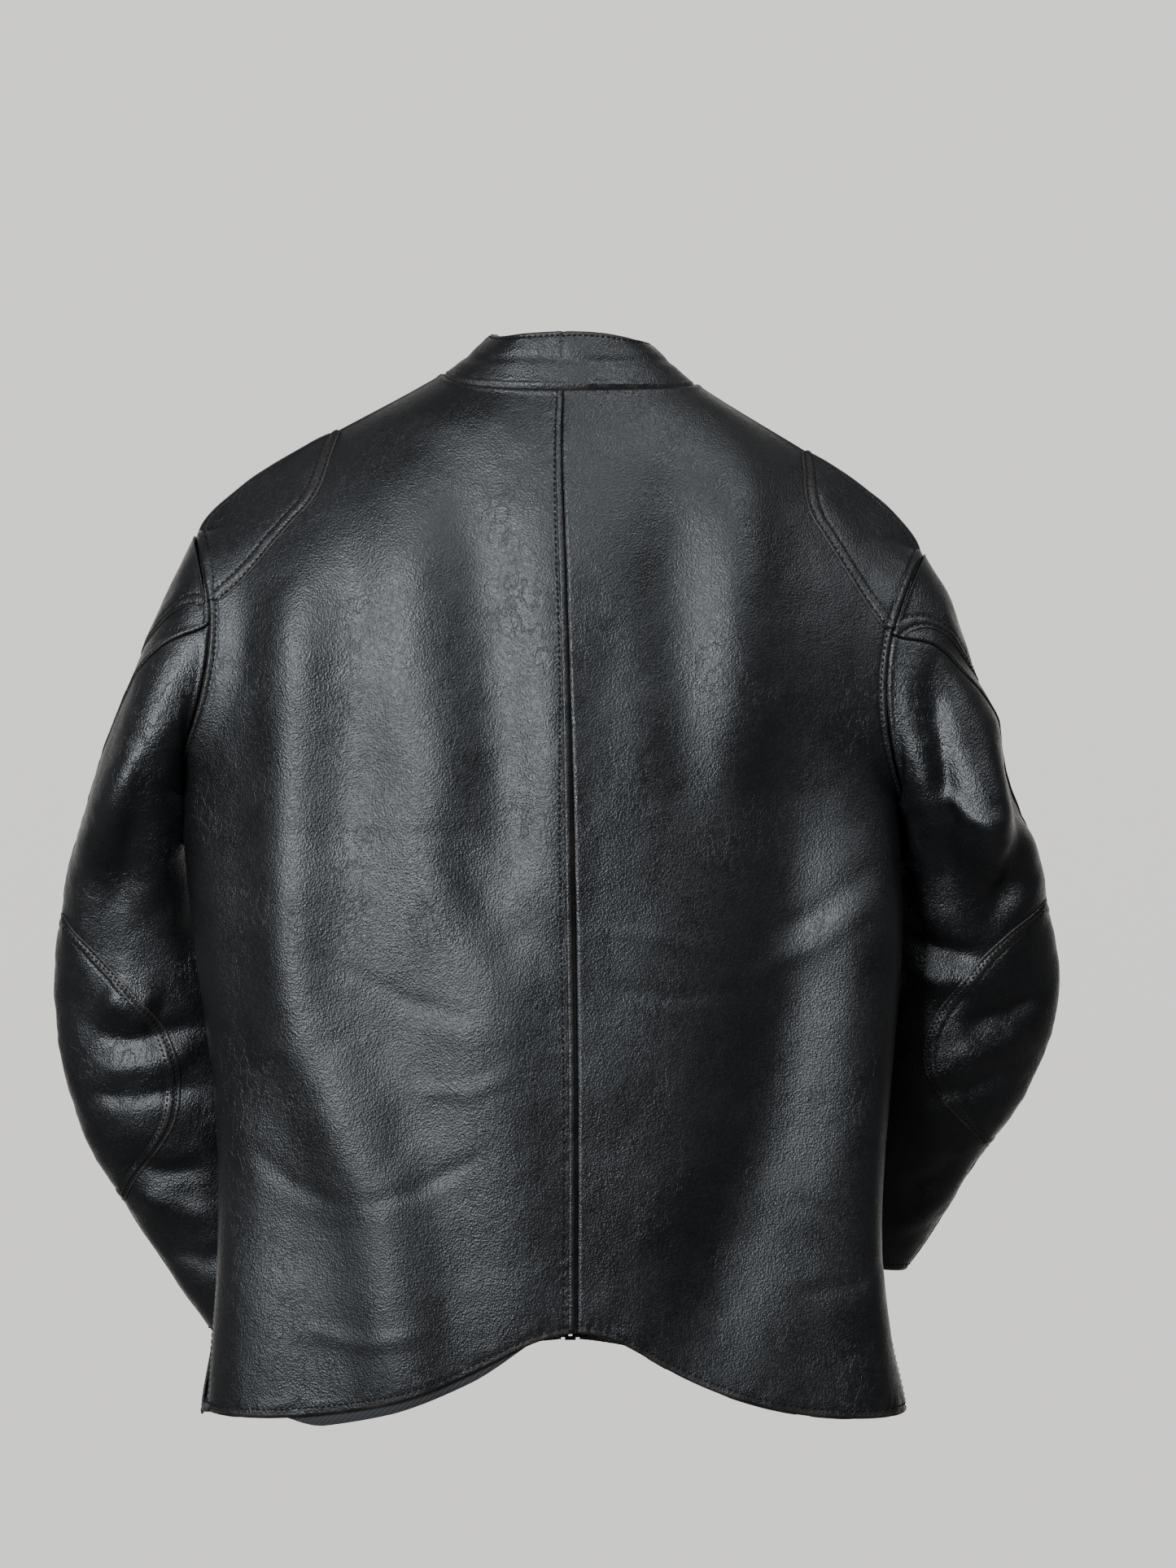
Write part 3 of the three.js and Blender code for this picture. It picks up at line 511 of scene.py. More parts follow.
def body_relief(face, x, z, p):
    """Folds and unevenness of the body's leather, in mm."""
    big = folds(x, z, BACK_FOLDS if face > 0 else FRONT_FOLDS) * look().fold_depth
    return big + 1.3 * noise(p, 95, 1) + 0.75 * noise(p, 38, 2) + 0.3 * noise(p, 17, 3) + 0.1 * noise(p, 7, 4)


BLUR_ROWS, BLUR_REACH = 36, 38


def softened(points, us):
    """Draws the leather smoothly past the underarm and the shoulder tip, away from the panel's edges."""
    height = np.concatenate([[0], np.cumsum(np.linalg.norm(np.diff(points[:, 0], axis=0), axis=1))])
    even = np.linspace(0, height[-1], 241)
    n = BLUR_ROWS
    kernel = bell(np.arange(-n, n + 1) * even[1], BLUR_REACH)
    kernel /= kernel.sum()
    out = np.empty_like(points)
    for i in range(points.shape[1]):
        for c in range(3):
            line = np.interp(even, height, points[:, i, c])
            ends = np.concatenate([2 * line[0] - line[n:0:-1], line, 2 * line[-1] - line[-2 : -n - 2 : -1]])
            out[:, i, c] = np.interp(height, even, np.convolve(ends, kernel, "valid"))
    width = np.linalg.norm(points[:, -1] - points[:, 0], axis=-1)
    away = smooth(0, BLUR_REACH, (1 - us)[None] * width[:, None])
    ends = smooth(0, 90, height) * smooth(0, 60, height[-1] - height)
    return mix(points, out, (away * ends[:, None])[..., None])


# calm ground under the pocket zips: centre x, z, half width, half height
FRONT_CALM = ((108, -290, 38, 90), (140, -590, 44, 108), (-128, -590, 44, 108))


def front_quiet(x, z, from_zip):
    """How much of its folds the front keeps: none beside the zip and under the pockets."""
    quiet = smooth(14, 60, from_zip)
    for px, pz, rx, rz in FRONT_CALM:
        quiet = quiet * smooth(0.8, 1.5, np.hypot((x - px) / rx, (z - pz) / rz))
    return quiet


# ---------------------------------------------------------------- materials
class Socket:
    """A node output that can be added, multiplied and compared in formulas."""

    def __init__(self, net, socket):
        self.net, self.socket = net, socket

    def math(self, kind, other=None, swap=False, clamp=False):
        node = self.net.tree.nodes.new("ShaderNodeMath")
        node.operation, node.use_clamp = kind, clamp
        pair = (other, self) if swap else (self, other)
        for port, value in zip(node.inputs, pair):
            if value is not None:
                self.net.feed(port, value)
        return Socket(self.net, node.outputs[0])

    def __add__(self, o):
        return self.math("ADD", o)

    __radd__ = __add__

    def __mul__(self, o):
        return self.math("MULTIPLY", o)

    __rmul__ = __mul__

    def __sub__(self, o):
        return self.math("SUBTRACT", o)

    def __rsub__(self, o):
        return self.math("SUBTRACT", o, swap=True)

    def __truediv__(self, o):
        return self.math("DIVIDE", o)

    def __pow__(self, o):
        return self.math("POWER", o)

    def ramp(self, low, high, out_low=0.0, out_high=1.0):
        """Smooth change from out_low to out_high as the value goes from low to high."""
        ports = {0: self, 1: low, 2: high, 3: out_low, 4: out_high}
        return self.net.node("ShaderNodeMapRange", ports, interpolation_type="SMOOTHSTEP")


class Net:
    """Builds one material out of procedural nodes."""

    def __init__(self, name):
        self.material = bpy.data.materials.new(name)
        self.material.use_nodes = True
        self.tree = self.material.node_tree
        self.shader = self.tree.nodes["Principled BSDF"]

    def feed(self, port, value):
        if isinstance(value, Socket):
            self.tree.links.new(value.socket, port)
        else:
            port.default_value = value

    def node(self, kind, inputs=None, output=0, **settings):
        node = self.tree.nodes.new(kind)
        for key, value in settings.items():
            setattr(node, key, value)
        for key, value in (inputs or {}).items():
            self.feed(node.inputs[key], value)
        return Socket(self, node.outputs[output])

    def position(self):
        return self.node("ShaderNodeTexCoord", output="Object")

    def attribute(self, name):
        return self.node("ShaderNodeAttribute", attribute_name=name, output="Fac")

    def scaled(self, vector, scale):
        return self.node("ShaderNodeVectorMath", {0: vector, 1: scale}, operation="MULTIPLY")

    def noise(self, vector, scale, detail=2.0, rough=0.5):
        ports = {"Vector": vector, "Scale": scale, "Detail": detail, "Roughness": rough}
        return self.node("ShaderNodeTexNoise", ports, output="Fac")

    def cells(self, vector, scale):
        return self.node("ShaderNodeTexVoronoi", {"Vector": vector, "Scale": scale}, output="Distance")

    def colour(self, a, b, factor):
        return self.node("ShaderNodeMix", {0: factor, 6: a, 7: b}, output=2, data_type="RGBA")

    def bump(self, height, distance, strength=1.0, normal=None):
        ports = {"Height": height, "Distance": distance, "Strength": strength}
        if normal is not None:
            ports["Normal"] = normal
        return self.node("ShaderNodeBump", ports, output="Normal")

    def finish(self, **inputs):
        for key, value in inputs.items():
            self.feed(self.shader.inputs[key.replace("_", " ")], value)
        return self.material


def make_leather(name="Leather", shine=0.0, creased=1.0):
    """Black leather: pebbled grain, fine creases, scuffs and brown wear where the attribute wear is high."""
    s, net = look(), Net(name)
    p = net.position()
    wear = net.attribute("wear")
    pebble = net.cells(p, 1000 / s.grain_size)
    fine = net.cells(p, 2300 / s.grain_size)
    pores = net.noise(p, 1500, 2)
    creases = net.noise(net.scaled(p, (1, 1, 0.5)), 95, 4, 0.6)
    crack = (creases - 0.5).math("ABSOLUTE").ramp(0.0, 0.03, 1, 0) * net.noise(p, 14, 2).ramp(0.48, 0.62)
    patchy = net.noise(p, 9, 5, 0.6)
    blotch = net.noise(p, 34, 4, 0.6)
    scratch = net.noise(net.scaled(p, (3.5, 1, 0.35)), 90, 3, 0.6).ramp(0.74, 0.79)
    clusters = net.noise(p, 330, 3, 0.65)
    height = pebble * 1.0 + fine * 0.35 + pores * 0.25 + clusters * 0.6 - crack * 0.5 * creased
    worn = (wear * s.wear * blotch.ramp(0.32, 0.62)).math("MINIMUM", 1.0)
    base = net.colour((0.0028, 0.003, 0.0036, 1), (0.006, 0.0063, 0.0072, 1), patchy.ramp(0.35, 0.65))
    base = net.colour(base, (0.05, 0.038, 0.029, 1), worn * 0.7)
    base = net.colour(base, (0.03, 0.03, 0.031, 1), scratch * 0.35)
    rough = (patchy - 0.5) * 0.18 + (blotch - 0.5) * 0.2 + (clusters - 0.5) * 0.4
    rough = rough + worn * 0.12 + crack * 0.05 + (s.gloss - shine)
    normal = net.bump(height, s.grain)
    normal = net.bump(net.noise(p, 75, 3, 0.55), 0.0006, 0.5, normal)
    return net.finish(Base_Color=base, Roughness=rough, Normal=normal, Specular_IOR_Level=0.5)


def make_twill(name, colour, pitch=0.9):
    """Twill cloth with diagonal ribs."""
    net = Net(name)
    p = net.position()
    ports = {"Vector": net.scaled(p, (1, 0.3, 1)), "Scale": 1000 / pitch / 6.3, "Distortion": 0.6, "Detail": 1.0}
    rib = net.node("ShaderNodeTexWave", ports, output="Fac", bands_direction="DIAGONAL")
    fuzz = net.noise(p, 420, 3)
    dark = tuple(c * 0.45 for c in colour)
    base = net.colour((*dark, 1), (*colour, 1), rib * 0.7 + fuzz * 0.3)
    return net.finish(Base_Color=base, Roughness=0.85, Normal=net.bump(rib + fuzz * 0.4, 0.0002), Sheen_Weight=0.1)


def make_thread():
    net = Net("Thread")
    twist = net.noise(net.position(), 900, 2)
    base = net.colour((0.003, 0.003, 0.003, 1), (0.009, 0.0085, 0.008, 1), twist)
    return net.finish(Base_Color=base, Roughness=0.8, Normal=net.bump(twist, 0.0002), Specular_IOR_Level=0.25)


def make_metal():
    net = Net("Zip metal")
    p = net.position()
    worn = net.noise(p, 160, 4)
    base = net.colour((0.42, 0.42, 0.43, 1), (0.62, 0.61, 0.6, 1), worn.ramp(0.4, 0.62))
    return net.finish(Base_Color=base, Roughness=worn * 0.25 + 0.22, Metallic=1.0, Normal=net.bump(worn, 0.00008))


def make_tape():
    net = Net("Zip tape")
    ports = {"Vector": net.position(), "Scale": 240, "Distortion": 0.4}
    weave = net.node("ShaderNodeTexWave", ports, output="Fac", bands_direction="Z")
    base = net.colour((0.007, 0.007, 0.008, 1), (0.02, 0.02, 0.022, 1), weave)
    return net.finish(Base_Color=base, Roughness=0.8, Normal=net.bump(weave, 0.0002))


MATERIALS = {}


def material(name):
    makers = {
        "leather": lambda: make_leather(),
        "sleeve_leather": lambda: make_leather("Sleeve leather", 0.03, 1.3),
        "lining": lambda: make_twill("Lining twill", (0.034, 0.034, 0.036)),
        "pocket": lambda: make_twill("Pocket cotton", (0.03, 0.03, 0.032), 0.6),
        "label": lambda: make_twill("Label cloth", (0.06, 0.06, 0.064), 0.5),
        "thread": make_thread,
        "metal": make_metal,
        "tape": make_tape,
    }
    if name not in MATERIALS:
        MATERIALS[name] = makers[name]()
    return MATERIALS[name]


# ---------------------------------------------------------------- stitches
# one stitch: along, across and up, as parts of its length and its width
STITCH_POINTS = (
    (-0.5, 0, 0), (-0.3, 0.5, 0.35), (-0.3, -0.5, 0.35), (-0.3, 0.0, 0.85),
    (0.3, 0.5, 0.35), (0.3, -0.5, 0.35), (0.3, 0.0, 0.85), (0.5, 0, 0),
)
STITCH_FACES = (
    (0, 2, 3), (0, 3, 1), (1, 3, 6), (1, 6, 4), (3, 2, 5), (3, 5, 6),
    (4, 6, 7), (6, 5, 7), (0, 1, 2), (1, 4, 5), (1, 5, 2), (4, 7, 5),
)
THREAD_WIDTH, STITCH_SHARE, STITCH_TILT = 0.7, 0.68, 0.12


def stitches(name, lines, pitch=None, body="body"):
    """Thread: one short raised stitch after another along lines of (points, normals) in mm."""
    pitch = pitch or look().stitch_length
    ring, faces = np.array(STITCH_POINTS), np.array(STITCH_FACES)
    vertices, triangles, count = [], [], 0
    for points, normals in lines:
        run = np.concatenate([[0], np.cumsum(np.linalg.norm(np.diff(points, axis=0), axis=1))])
        n = max(2, int(run[-1] / pitch))
        s = (np.arange(n) + 0.5) * run[-1] / n

        def along(values, at):
            return np.stack([np.interp(at, run, values[:, c]) for c in range(3)], 1)

        at, ahead, up = along(points, s), along(points, s + 0.6) - along(points, s - 0.6), along(normals, s)
        up /= np.linalg.norm(up, axis=1, keepdims=True)
        ahead -= up * np.sum(ahead * up, axis=1, keepdims=True)
        ahead /= np.maximum(np.linalg.norm(ahead, axis=1, keepdims=True), 1e-9)
        across = np.cross(up, ahead)
        tilted = STITCH_TILT * across + ahead
        v = at[:, None] + ring[None, :, :1] * tilted[:, None] * pitch * STITCH_SHARE
        v = v + ring[None, :, 1:2] * across[:, None] * THREAD_WIDTH * 2
        v = v + (ring[None, :, 2:] * THREAD_WIDTH - 0.1) * up[:, None]
        vertices.append(v.reshape(-1, 3))
        triangles.append((faces[None] + (np.arange(n) * 8 + count)[:, None, None]).reshape(-1, 3))
        count += n * 8
    mesh = bpy.data.meshes.new(name)
    mesh.from_pydata((np.concatenate(vertices) * MM).tolist(), [], np.concatenate(triangles).tolist())
    mesh.polygons.foreach_set("use_smooth", np.ones(len(mesh.polygons), bool))
    mesh.materials.append(material("thread"))
    mesh.update()
    obj = linked(name, mesh)
    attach(obj, body)
    return obj


# ---------------------------------------------------------------- body pieces
def panel(face, k, us, vs):
    """Points and outward normals of a body panel without its folds, and which way its grid faces."""
    u, v = np.meshgrid(us, vs)
    points = softened(body(face, k, u, v), us)
    out = SIGN[k] * (-1 if face > 0 else 1)
    return points, base_normals(points) * out, out


def back_finish(k, vs, points, centre, edge):
    """The centre seam's groove and pleated strip, and the rolled, stitched edge at the armhole."""
    z = points[..., 2]
    strip = bell(centre - 7.5, 4.5) * (k == 0)
    low = smooth(-430, -470, z) * smooth(-700, -670, z)
    pleats = strip * low * 0.7 * np.sin(z / 0.95 + 2.5 * noise(points, 7, 5))
    h = pleats - 1.3 * bell(centre, 1.2) + 0.35 * strip * (1 - low) * noise(points, 5, 8)
    arm = smooth(0.98, 1.1, vs[:, None]) * smooth(2.02, 1.95, vs[:, None])
    rolled = 0.7 * bell(edge - 2.2, 1.8) - 0.6 * bell(edge - 6, 1.5)
    return h + arm * (rolled + 0.35 * bell(edge, 14) * noise(points, 6, 9))


def front_finish(k, points, centre):
    """The stitched front edge, and room for the right pocket's slider at the end of its run."""
    x, z = points[..., 0], points[..., 2]
    h = 0.3 * bell(centre - 8, 5) * noise(points, 8, 9) - 0.6 * bell(centre - 6, 1.4)
    return h - 1.8 * (k == 1) * bell(x + 140, 24) * bell(z + 652, 32)


def build_panel(face, k):
    fine = look().fineness
    us, vs = spread(int(130 * fine), 0.7), 2.999 * spread(int(300 * fine), 0.5)
    points, normals, out = panel(face, k, us, vs)
    centre, edge, hem, neck = edge_distances(points)
    x, z = points[..., 0], points[..., 2]
    quiet = smooth(0, 42, edge) * smooth(0, 45, neck)
    if face < 0:
        quiet = quiet * front_quiet(x, z, centre)
    h = body_relief(face, x, z, points) * quiet + seam(edge, 0.5) + seam(neck, 1.0, 0.6)
    # gathers along the hem, with a dip at its stitching
    ripples = 0.45 * np.sin(x / 1.15 + 3 * noise(points, 7, 5)) * smooth(-0.5, 0.6, noise(points, 26, 6))
    gathers = bell(hem - 7, 7) * (ripples + 0.6 * noise(points, 9, 7))
    h = h - 0.5 * bell(hem - 5, 1.6) + gathers - 0.7 * bell(hem, 0.9)
    if face > 0:
        h = h + back_finish(k, vs, points, centre, edge)
    else:
        h = h + front_finish(k, points, centre)
    done = place(points, normals, h)
    name = f"{'back' if face > 0 else 'front'}_panel_{SIDES[k]}"
    SKINS[name] = Skin(us, vs, done, out)
    wear = bell(hem, 3.5) + 0.8 * bell(edge, 2.5) + 0.35 * bell(neck, 2)
    if face > 0:
        wear = wear + 0.25 * bell(centre, 2)
    obj = piece(f"{name}_skin", [name], done, sizes().leather, "leather", wear, out)
    length = float(np.ptp(z)) * MM


class JACKET_OT_panels(Operator):
    """Builds the four leather panels of the body"""

    bl_idname = "jacket.panels"
    bl_label = "Body panels"

    def execute(self, context):
        for k in (0, 1):
            build_panel(1, k)
            build_panel(-1, k)
        return {"FINISHED"}


class JACKET_OT_centre_welt(Operator):
    """Builds the raised welt down the centre back seam"""

    bl_idname = "jacket.centre_welt"
    bl_label = "Centre back welt"

    def execute(self, context):
        left, right = SKINS["back_panel_left"], SKINS["back_panel_right"]
        vs = np.linspace(0.004, 2.985, 420)
        across = np.linspace(-1, 1, 9)
        side = left.at(0.012, vs)[0] - right.at(0.004, vs)[0]
        side /= np.linalg.norm(side, axis=1, keepdims=True)
        middle, normals = left.at(0.0085, vs)
        middle = middle + side * 0.6
        bulge = np.sqrt(np.maximum(0, 1 - across**2 * 0.97))[None]
        ripple = (0.16 * noise(middle, 4, 11) + 0.12 * noise(middle, 1.8, 12))[:, None]
        height = bulge + ripple * bulge + 0.2
        points = middle[:, None] + side[:, None] * (across * 2.3)[None, :, None]
        points = points + normals[:, None] * height[..., None]
        piece("centre_back_welt_skin", ["centre_back_welt"], points, 0.9, "leather", 0.2, out=-1)
        beside = left.line(np.full(700, 0.0245), np.linspace(0.01, 2.985, 700), 0.15)
        stitches("centre_back_stitches", [beside])
        return {"FINISHED"}


def patch_piece(name, points, edge_d, out, normals, body="body", key="leather"):
    """A padded, edge-stitched patch, by distance from its edge over what it is sewn to."""
    h = mix(0.9, 2.3, smooth(0, 26, edge_d))
    for row in (3, 11):
        h = h - 0.55 * bell(edge_d - row, 1.2)
    h = h + 0.4 * bell(edge_d - 7, 3) + 0.5 * noise(points, 16, 21) * smooth(2, 14, edge_d)
    h = h + 0.3 * noise(points, 5, 22) * bell(edge_d - 7, 6)
    done = place(points, normals, h)
    wear = bell(edge_d, 1.8) + 0.3 * bell(edge_d - 7, 3)
    obj = piece(f"{name}_skin", [name], done, 1.2, key, wear, out, body)
    return Skin(np.linspace(0, 1, points.shape[1]), np.linspace(0, 1, points.shape[0]), done, out), obj


# start, end and greatest width in the panel's own v and u
SHOULDER_PATCH = ((1.64, 2.56, 0.26), (1.62, 2.5, 0.27))
SHOULDER_ROWS = ((3, 11), (3, 10))


class JACKET_OT_shoulder_patches(Operator):
    """Builds the padded patches on the shoulders"""

    bl_idname = "jacket.shoulder_patches"
    bl_label = "Shoulder patches"

    def execute(self, context):
        t = np.linspace(0, 1, 90)
        p = np.linspace(0, 0.992, 60)
        pp, tt = np.meshgrid(p, t)
        for k in (0, 1):
            start, end, width = SHOULDER_PATCH[k]
            u = 1 - (1 - pp) * width * (0.12 + 0.88 * np.sin(np.pi * tt) ** 0.8)
            points, normals = SKINS[f"back_panel_{SIDES[k]}"].at(u, mix(start, end, tt))
            inner = edge_distances(points)[0]
            name = f"shoulder_patch_{SIDES[k]}"
            skin, _ = patch_piece(name, points, np.minimum(inner, 40), -SIGN[k], normals)
            lines = []
            for row in SHOULDER_ROWS[k]:
                # where the distance from the inner edge is the row's
                q = np.array([np.interp(row, inner[j], np.linspace(0, 1, len(p))) for j in range(len(t))])
                keep = inner[:, -1] > row + 3
                lines.append(skin.line(q[keep], t[keep], 0.05))
            stitches(f"{name}_stitches", lines)
        return {"FINISHED"}


HEM_ROW = 0.0125


class JACKET_OT_hem_stitches(Operator):
    """Sews the hem, the vents, the armholes and the front edges"""

    bl_idname = "jacket.hem_stitches"
    bl_label = "Stitched edges"

    def execute(self, context):
        lines = []
        for side in SIDES:
            back, front = SKINS[f"back_panel_{side}"], SKINS[f"front_panel_{side}"]
            lines.append(back.line(np.linspace(0.015, 0.985, 400), np.full(400, HEM_ROW)))
            # beside the armhole, and up the vent
            lines.append(back.line(np.full(300, 0.977), np.linspace(1.06, 1.95, 300)))
            lines.append(back.line(np.full(90, 0.972), np.linspace(HEM_ROW, 0.2, 90)))
            lines.append(front.line(np.linspace(0.03, 0.985, 400), np.full(400, HEM_ROW)))
            v = np.linspace(HEM_ROW, 2.98, 900)
            width = np.interp(v, front.vs, np.linalg.norm(front.points[:, -1] - front.points[:, 0], axis=1))
            lines.append(front.line(np.clip(7 / width * 0.78, 0, 1), v))
        stitches("body_stitches", lines)
        return {"FINISHED"}


class JACKET_OT_body_lining(Operator):
    """Builds the back and front linings and the front facings"""

    bl_idname = "jacket.body_lining"
    bl_label = "Body lining"

    def half_back(self, k):
        """Half of the back lining; its lowest row hangs below the leather where the hem's arch shows it."""
        vs = np.concatenate([[-1.0], 2.93 * spread(150, 0.4)])
        us = 0.99 * spread(60, 0.6)
        far = 269 * np.sin(us * np.pi / 2)
        if k == 0:
            shows = (0.12 + 0.88 * smooth(8, 75, far)) * smooth(232, 180, far)
        else:
            shows = 0.12 + 0.3 * smooth(20, 70, far) * smooth(190, 130, far)
        u, v = np.meshgrid(us, vs)
        v[0] = -0.017 * shows * (1 + 0.15 * noise(stack(us * 40, 0, 0), 3, 31)) + 0.012 * (1 - shows)
        inside = body(1, k, u, np.maximum(v, 0))
        reach = softened(inside, us)
        points = reach + body(1, k, u, v) - inside
        normals = base_normals(reach) * -SIGN[k]
        normals[0] = normals[1]
        _, edge, _, neck = edge_distances(reach)
        relief = body_relief(1, reach[..., 0], reach[..., 2], reach) * smooth(0, 42, edge) * smooth(0, 45, neck)
        wavy = 0.8 * noise(points, 14, 33) * np.exp(-(np.arange(len(vs)) / 3.0))[:, None]
        return place(points, normals, relief - 3.0 + wavy)

    def front(self, name, cad, k, span, columns, key, deep, thickness):
        us = mix(*span, spread(columns, 0.3))
        vs = mix(0.02, 2.93, spread(140, 0.4))
        points, normals, out = panel(-1, k, us, vs)
        x, z = points[..., 0], points[..., 2]
        ends = body(-1, k, np.array([[0.0, 1.0]]), vs[:, None])
        from_zip, edge = (np.linalg.norm(points - ends[:, n : n + 1], axis=-1) for n in (0, 1))
        neck = edge_distances(points)[3]
        quiet = smooth(0, 42, edge) * smooth(0, 45, neck + 5) * front_quiet(x, z, from_zip)
        if key == "lining":
            # more room for the pocket bags, away from its own edges
            off = (us - span[0]) / (span[1] - span[0])
            room = (smooth(0, 0.08, off) * (1 - smooth(0.75, 0.95, off)))[None] * (1 - smooth(1.5, 2, vs))[:, None]
            deep = deep + 4.4 * room
        done = place(points, normals, body_relief(-1, x, z, points) * quiet - deep)
        return piece(name, [cad], done, thickness, key, 0, out)

    def execute(self, context):
        # one sheet over both back panels
        whole = np.concatenate([self.half_back(1)[:, ::-1], self.half_back(0)[:, 1:]], axis=1)
        obj = piece("lining_back_cloth", ["lining_back"], whole, 0.8, "lining", out=-1)
        for k, side in enumerate(SIDES):
            cad = f"lining_front_{side}"
            obj = self.front(f"{cad}_cloth", cad, k, (0.181, 0.99), 50, "lining", 3.2, 0.8)
            cad = f"front_facing_{side}"
            self.front(f"{cad}_skin", cad, k, (0.014, 0.18), 14, "leather", 3.3, 1.1)
        return {"FINISHED"}


# ---------------------------------------------------------------- collar
class JACKET_OT_collar(Operator):
    """Builds the band collar, its inner band and its stitching"""

    bl_idname = "jacket.collar"
    bl_label = "Collar"

    def rounded(self, points, a, hh):
        """Takes the corners off the collar's curve, more towards its top and not at its ends."""
        n = 22
        kernel = bell(np.arange(-n, n + 1), 11)
        kernel = kernel / kernel.sum()

        def blur(line):
            return np.convolve(np.pad(line, n, "reflect", reflect_type="odd"), kernel, "valid")

        share = smooth(2, 1.75, np.abs(a))[None] * np.clip(0.45 + 0.55 * hh, 0.45, 1)
        return mix(points, np.apply_along_axis(blur, 1, points), share[..., None])

    def execute(self, context):
        s = sizes()
        a = np.linspace(-1.99, 1.99, 420)
        # the two lowest rows are tucked into the neck seam
        h = np.concatenate([[-0.16, -0.05], spread(40, 0.4)])
        aa, hh = np.meshgrid(a, h)
        points = self.rounded(collar(aa, hh), a, hh)
        out = -1
        normals = base_normals(points) * out
        height = np.linalg.norm(points - points[2:3], axis=-1)
        top = height[-1:] - height
        run = np.cumsum(np.concatenate([[0], np.linalg.norm(np.diff(points[0], axis=0), axis=1)]))
        run = run - run[len(a) // 2]
        crease_at = 0.5 + 0.05 * np.sin(run / 21)[None]
        fold = 0.9 * bell(hh - crease_at, 0.09) * smooth(-0.6, 0.5, noise(points, 45, 41))
        tuck = (1.1 * bell(run, 1.6) - 0.6 * bell(run - 4, 2.5))[None] * smooth(0.3, 1, hh)
        ripple = 0.35 * noise(points, 7, 42) * (bell(top - 4, 5) + bell(height - 5, 5))
        relief = ripple - fold - tuck + 0.8 * noise(points, 28, 43) + seam(height, 0.6, 0.5)
        relief = relief - 0.5 * bell(top - 3, 1.1) - 0.5 * bell(height - 4, 1.1) - 0.9 * bell(top, 0.9)
        relief[:2] = -2.6
        done = place(points, normals, relief)
        scuffed = smooth(0.25, 0.6, noise(points, 13, 44)) * bell(run - 30, 34)[None]
        wear = 0.8 * bell(top, 2.2) + 0.5 * bell(height, 2) + 0.8 * scuffed
        piece("collar_skin", ["collar"], done, s.leather, "leather", wear, out)
        skin = SKINS["collar"] = Skin(a, h, done, out)

        # the inner band lies 2.6 mm nearer the neck's middle
        outer = done[2:, 4:-4]
        towards = np.array([0, -14, 0]) - outer * np.array([1, 1, 0])
        inner = outer + towards / np.linalg.norm(towards, axis=-1, keepdims=True) * 2.6
        wear = 0.5 * bell(top[2:, 4:-4], 3)
        piece("collar_lining_skin", ["collar_lining"], inner, 1.1, "leather", wear, out)

        span = np.linspace(-1.985, 1.985, 600)
        lines = []
        for levels in (np.full(len(a), 4.0), height[-1] - 3.2):
            rows = [np.interp(level, height[:, i], h) for i, level in enumerate(levels)]
            lines.append(skin.line(span, np.interp(span, a, rows)))
        stitches("collar_stitches", lines, pitch=4.2)
        return {"FINISHED"}


# ---------------------------------------------------------------- sleeves
def sleeve_points(k, ws, gs):
    """w from 0 the front seam, 1 the back-arm seam, to 2 the front seam again."""
    w, g = np.meshgrid(ws, gs)
    seam_at = back_seam(k, g)
    degrees = np.where(w <= 1, mix(FRONT_SEAM, seam_at, w), mix(seam_at, FRONT_SEAM + 360, w - 1))
    return sleeve(k, g, degrees), degrees, g


def around(k, g, degrees):
    """w at an angle round the sleeve."""
    seam_at = back_seam(k, g)
    before = (degrees - FRONT_SEAM) / (seam_at - FRONT_SEAM)
    return np.where(degrees <= seam_at, before, 1 + (degrees - seam_at) / (FRONT_SEAM + 360 - seam_at))


def sleeve_relief(k, points, degrees, g):
    """Folds of a sleeve, in mm: drawn ones at the back, and loose ones all round."""
    x, z = points[..., 0], points[..., 2]
    facing = np.sin(np.radians(degrees))
    behind, ahead = smooth(-0.25, 0.35, facing), smooth(0.25, -0.35, facing)
    quiet = smooth(0.1, 0.9, g) * smooth(8.0, 7.6, g)
    across = np.sin(z / 13 + 2.2 * noise(points, 60, 51)) * smooth(0, 0.7, noise(points, 70, 52))
    across = across * bell(g - 5, 1.3)
    h = folds(x, z, SLEEVE_FOLDS[k]) * behind * look().fold_depth
    h = h + 3.2 * across * (0.35 * behind + ahead)
    return (h + 1.6 * noise(points, 60, 53) + 0.8 * noise(points, 24, 54) + 0.3 * noise(points, 9, 55)) * quiet


# start and end down the sleeve, and degrees round it
ELBOW_PATCH = ((4.25, 7.0, 104), (4.0, 6.75, 106))
# reach down the sleeve, and degrees to either side
CAP_PATCH = ((1.52, 66), (1.7, 70))


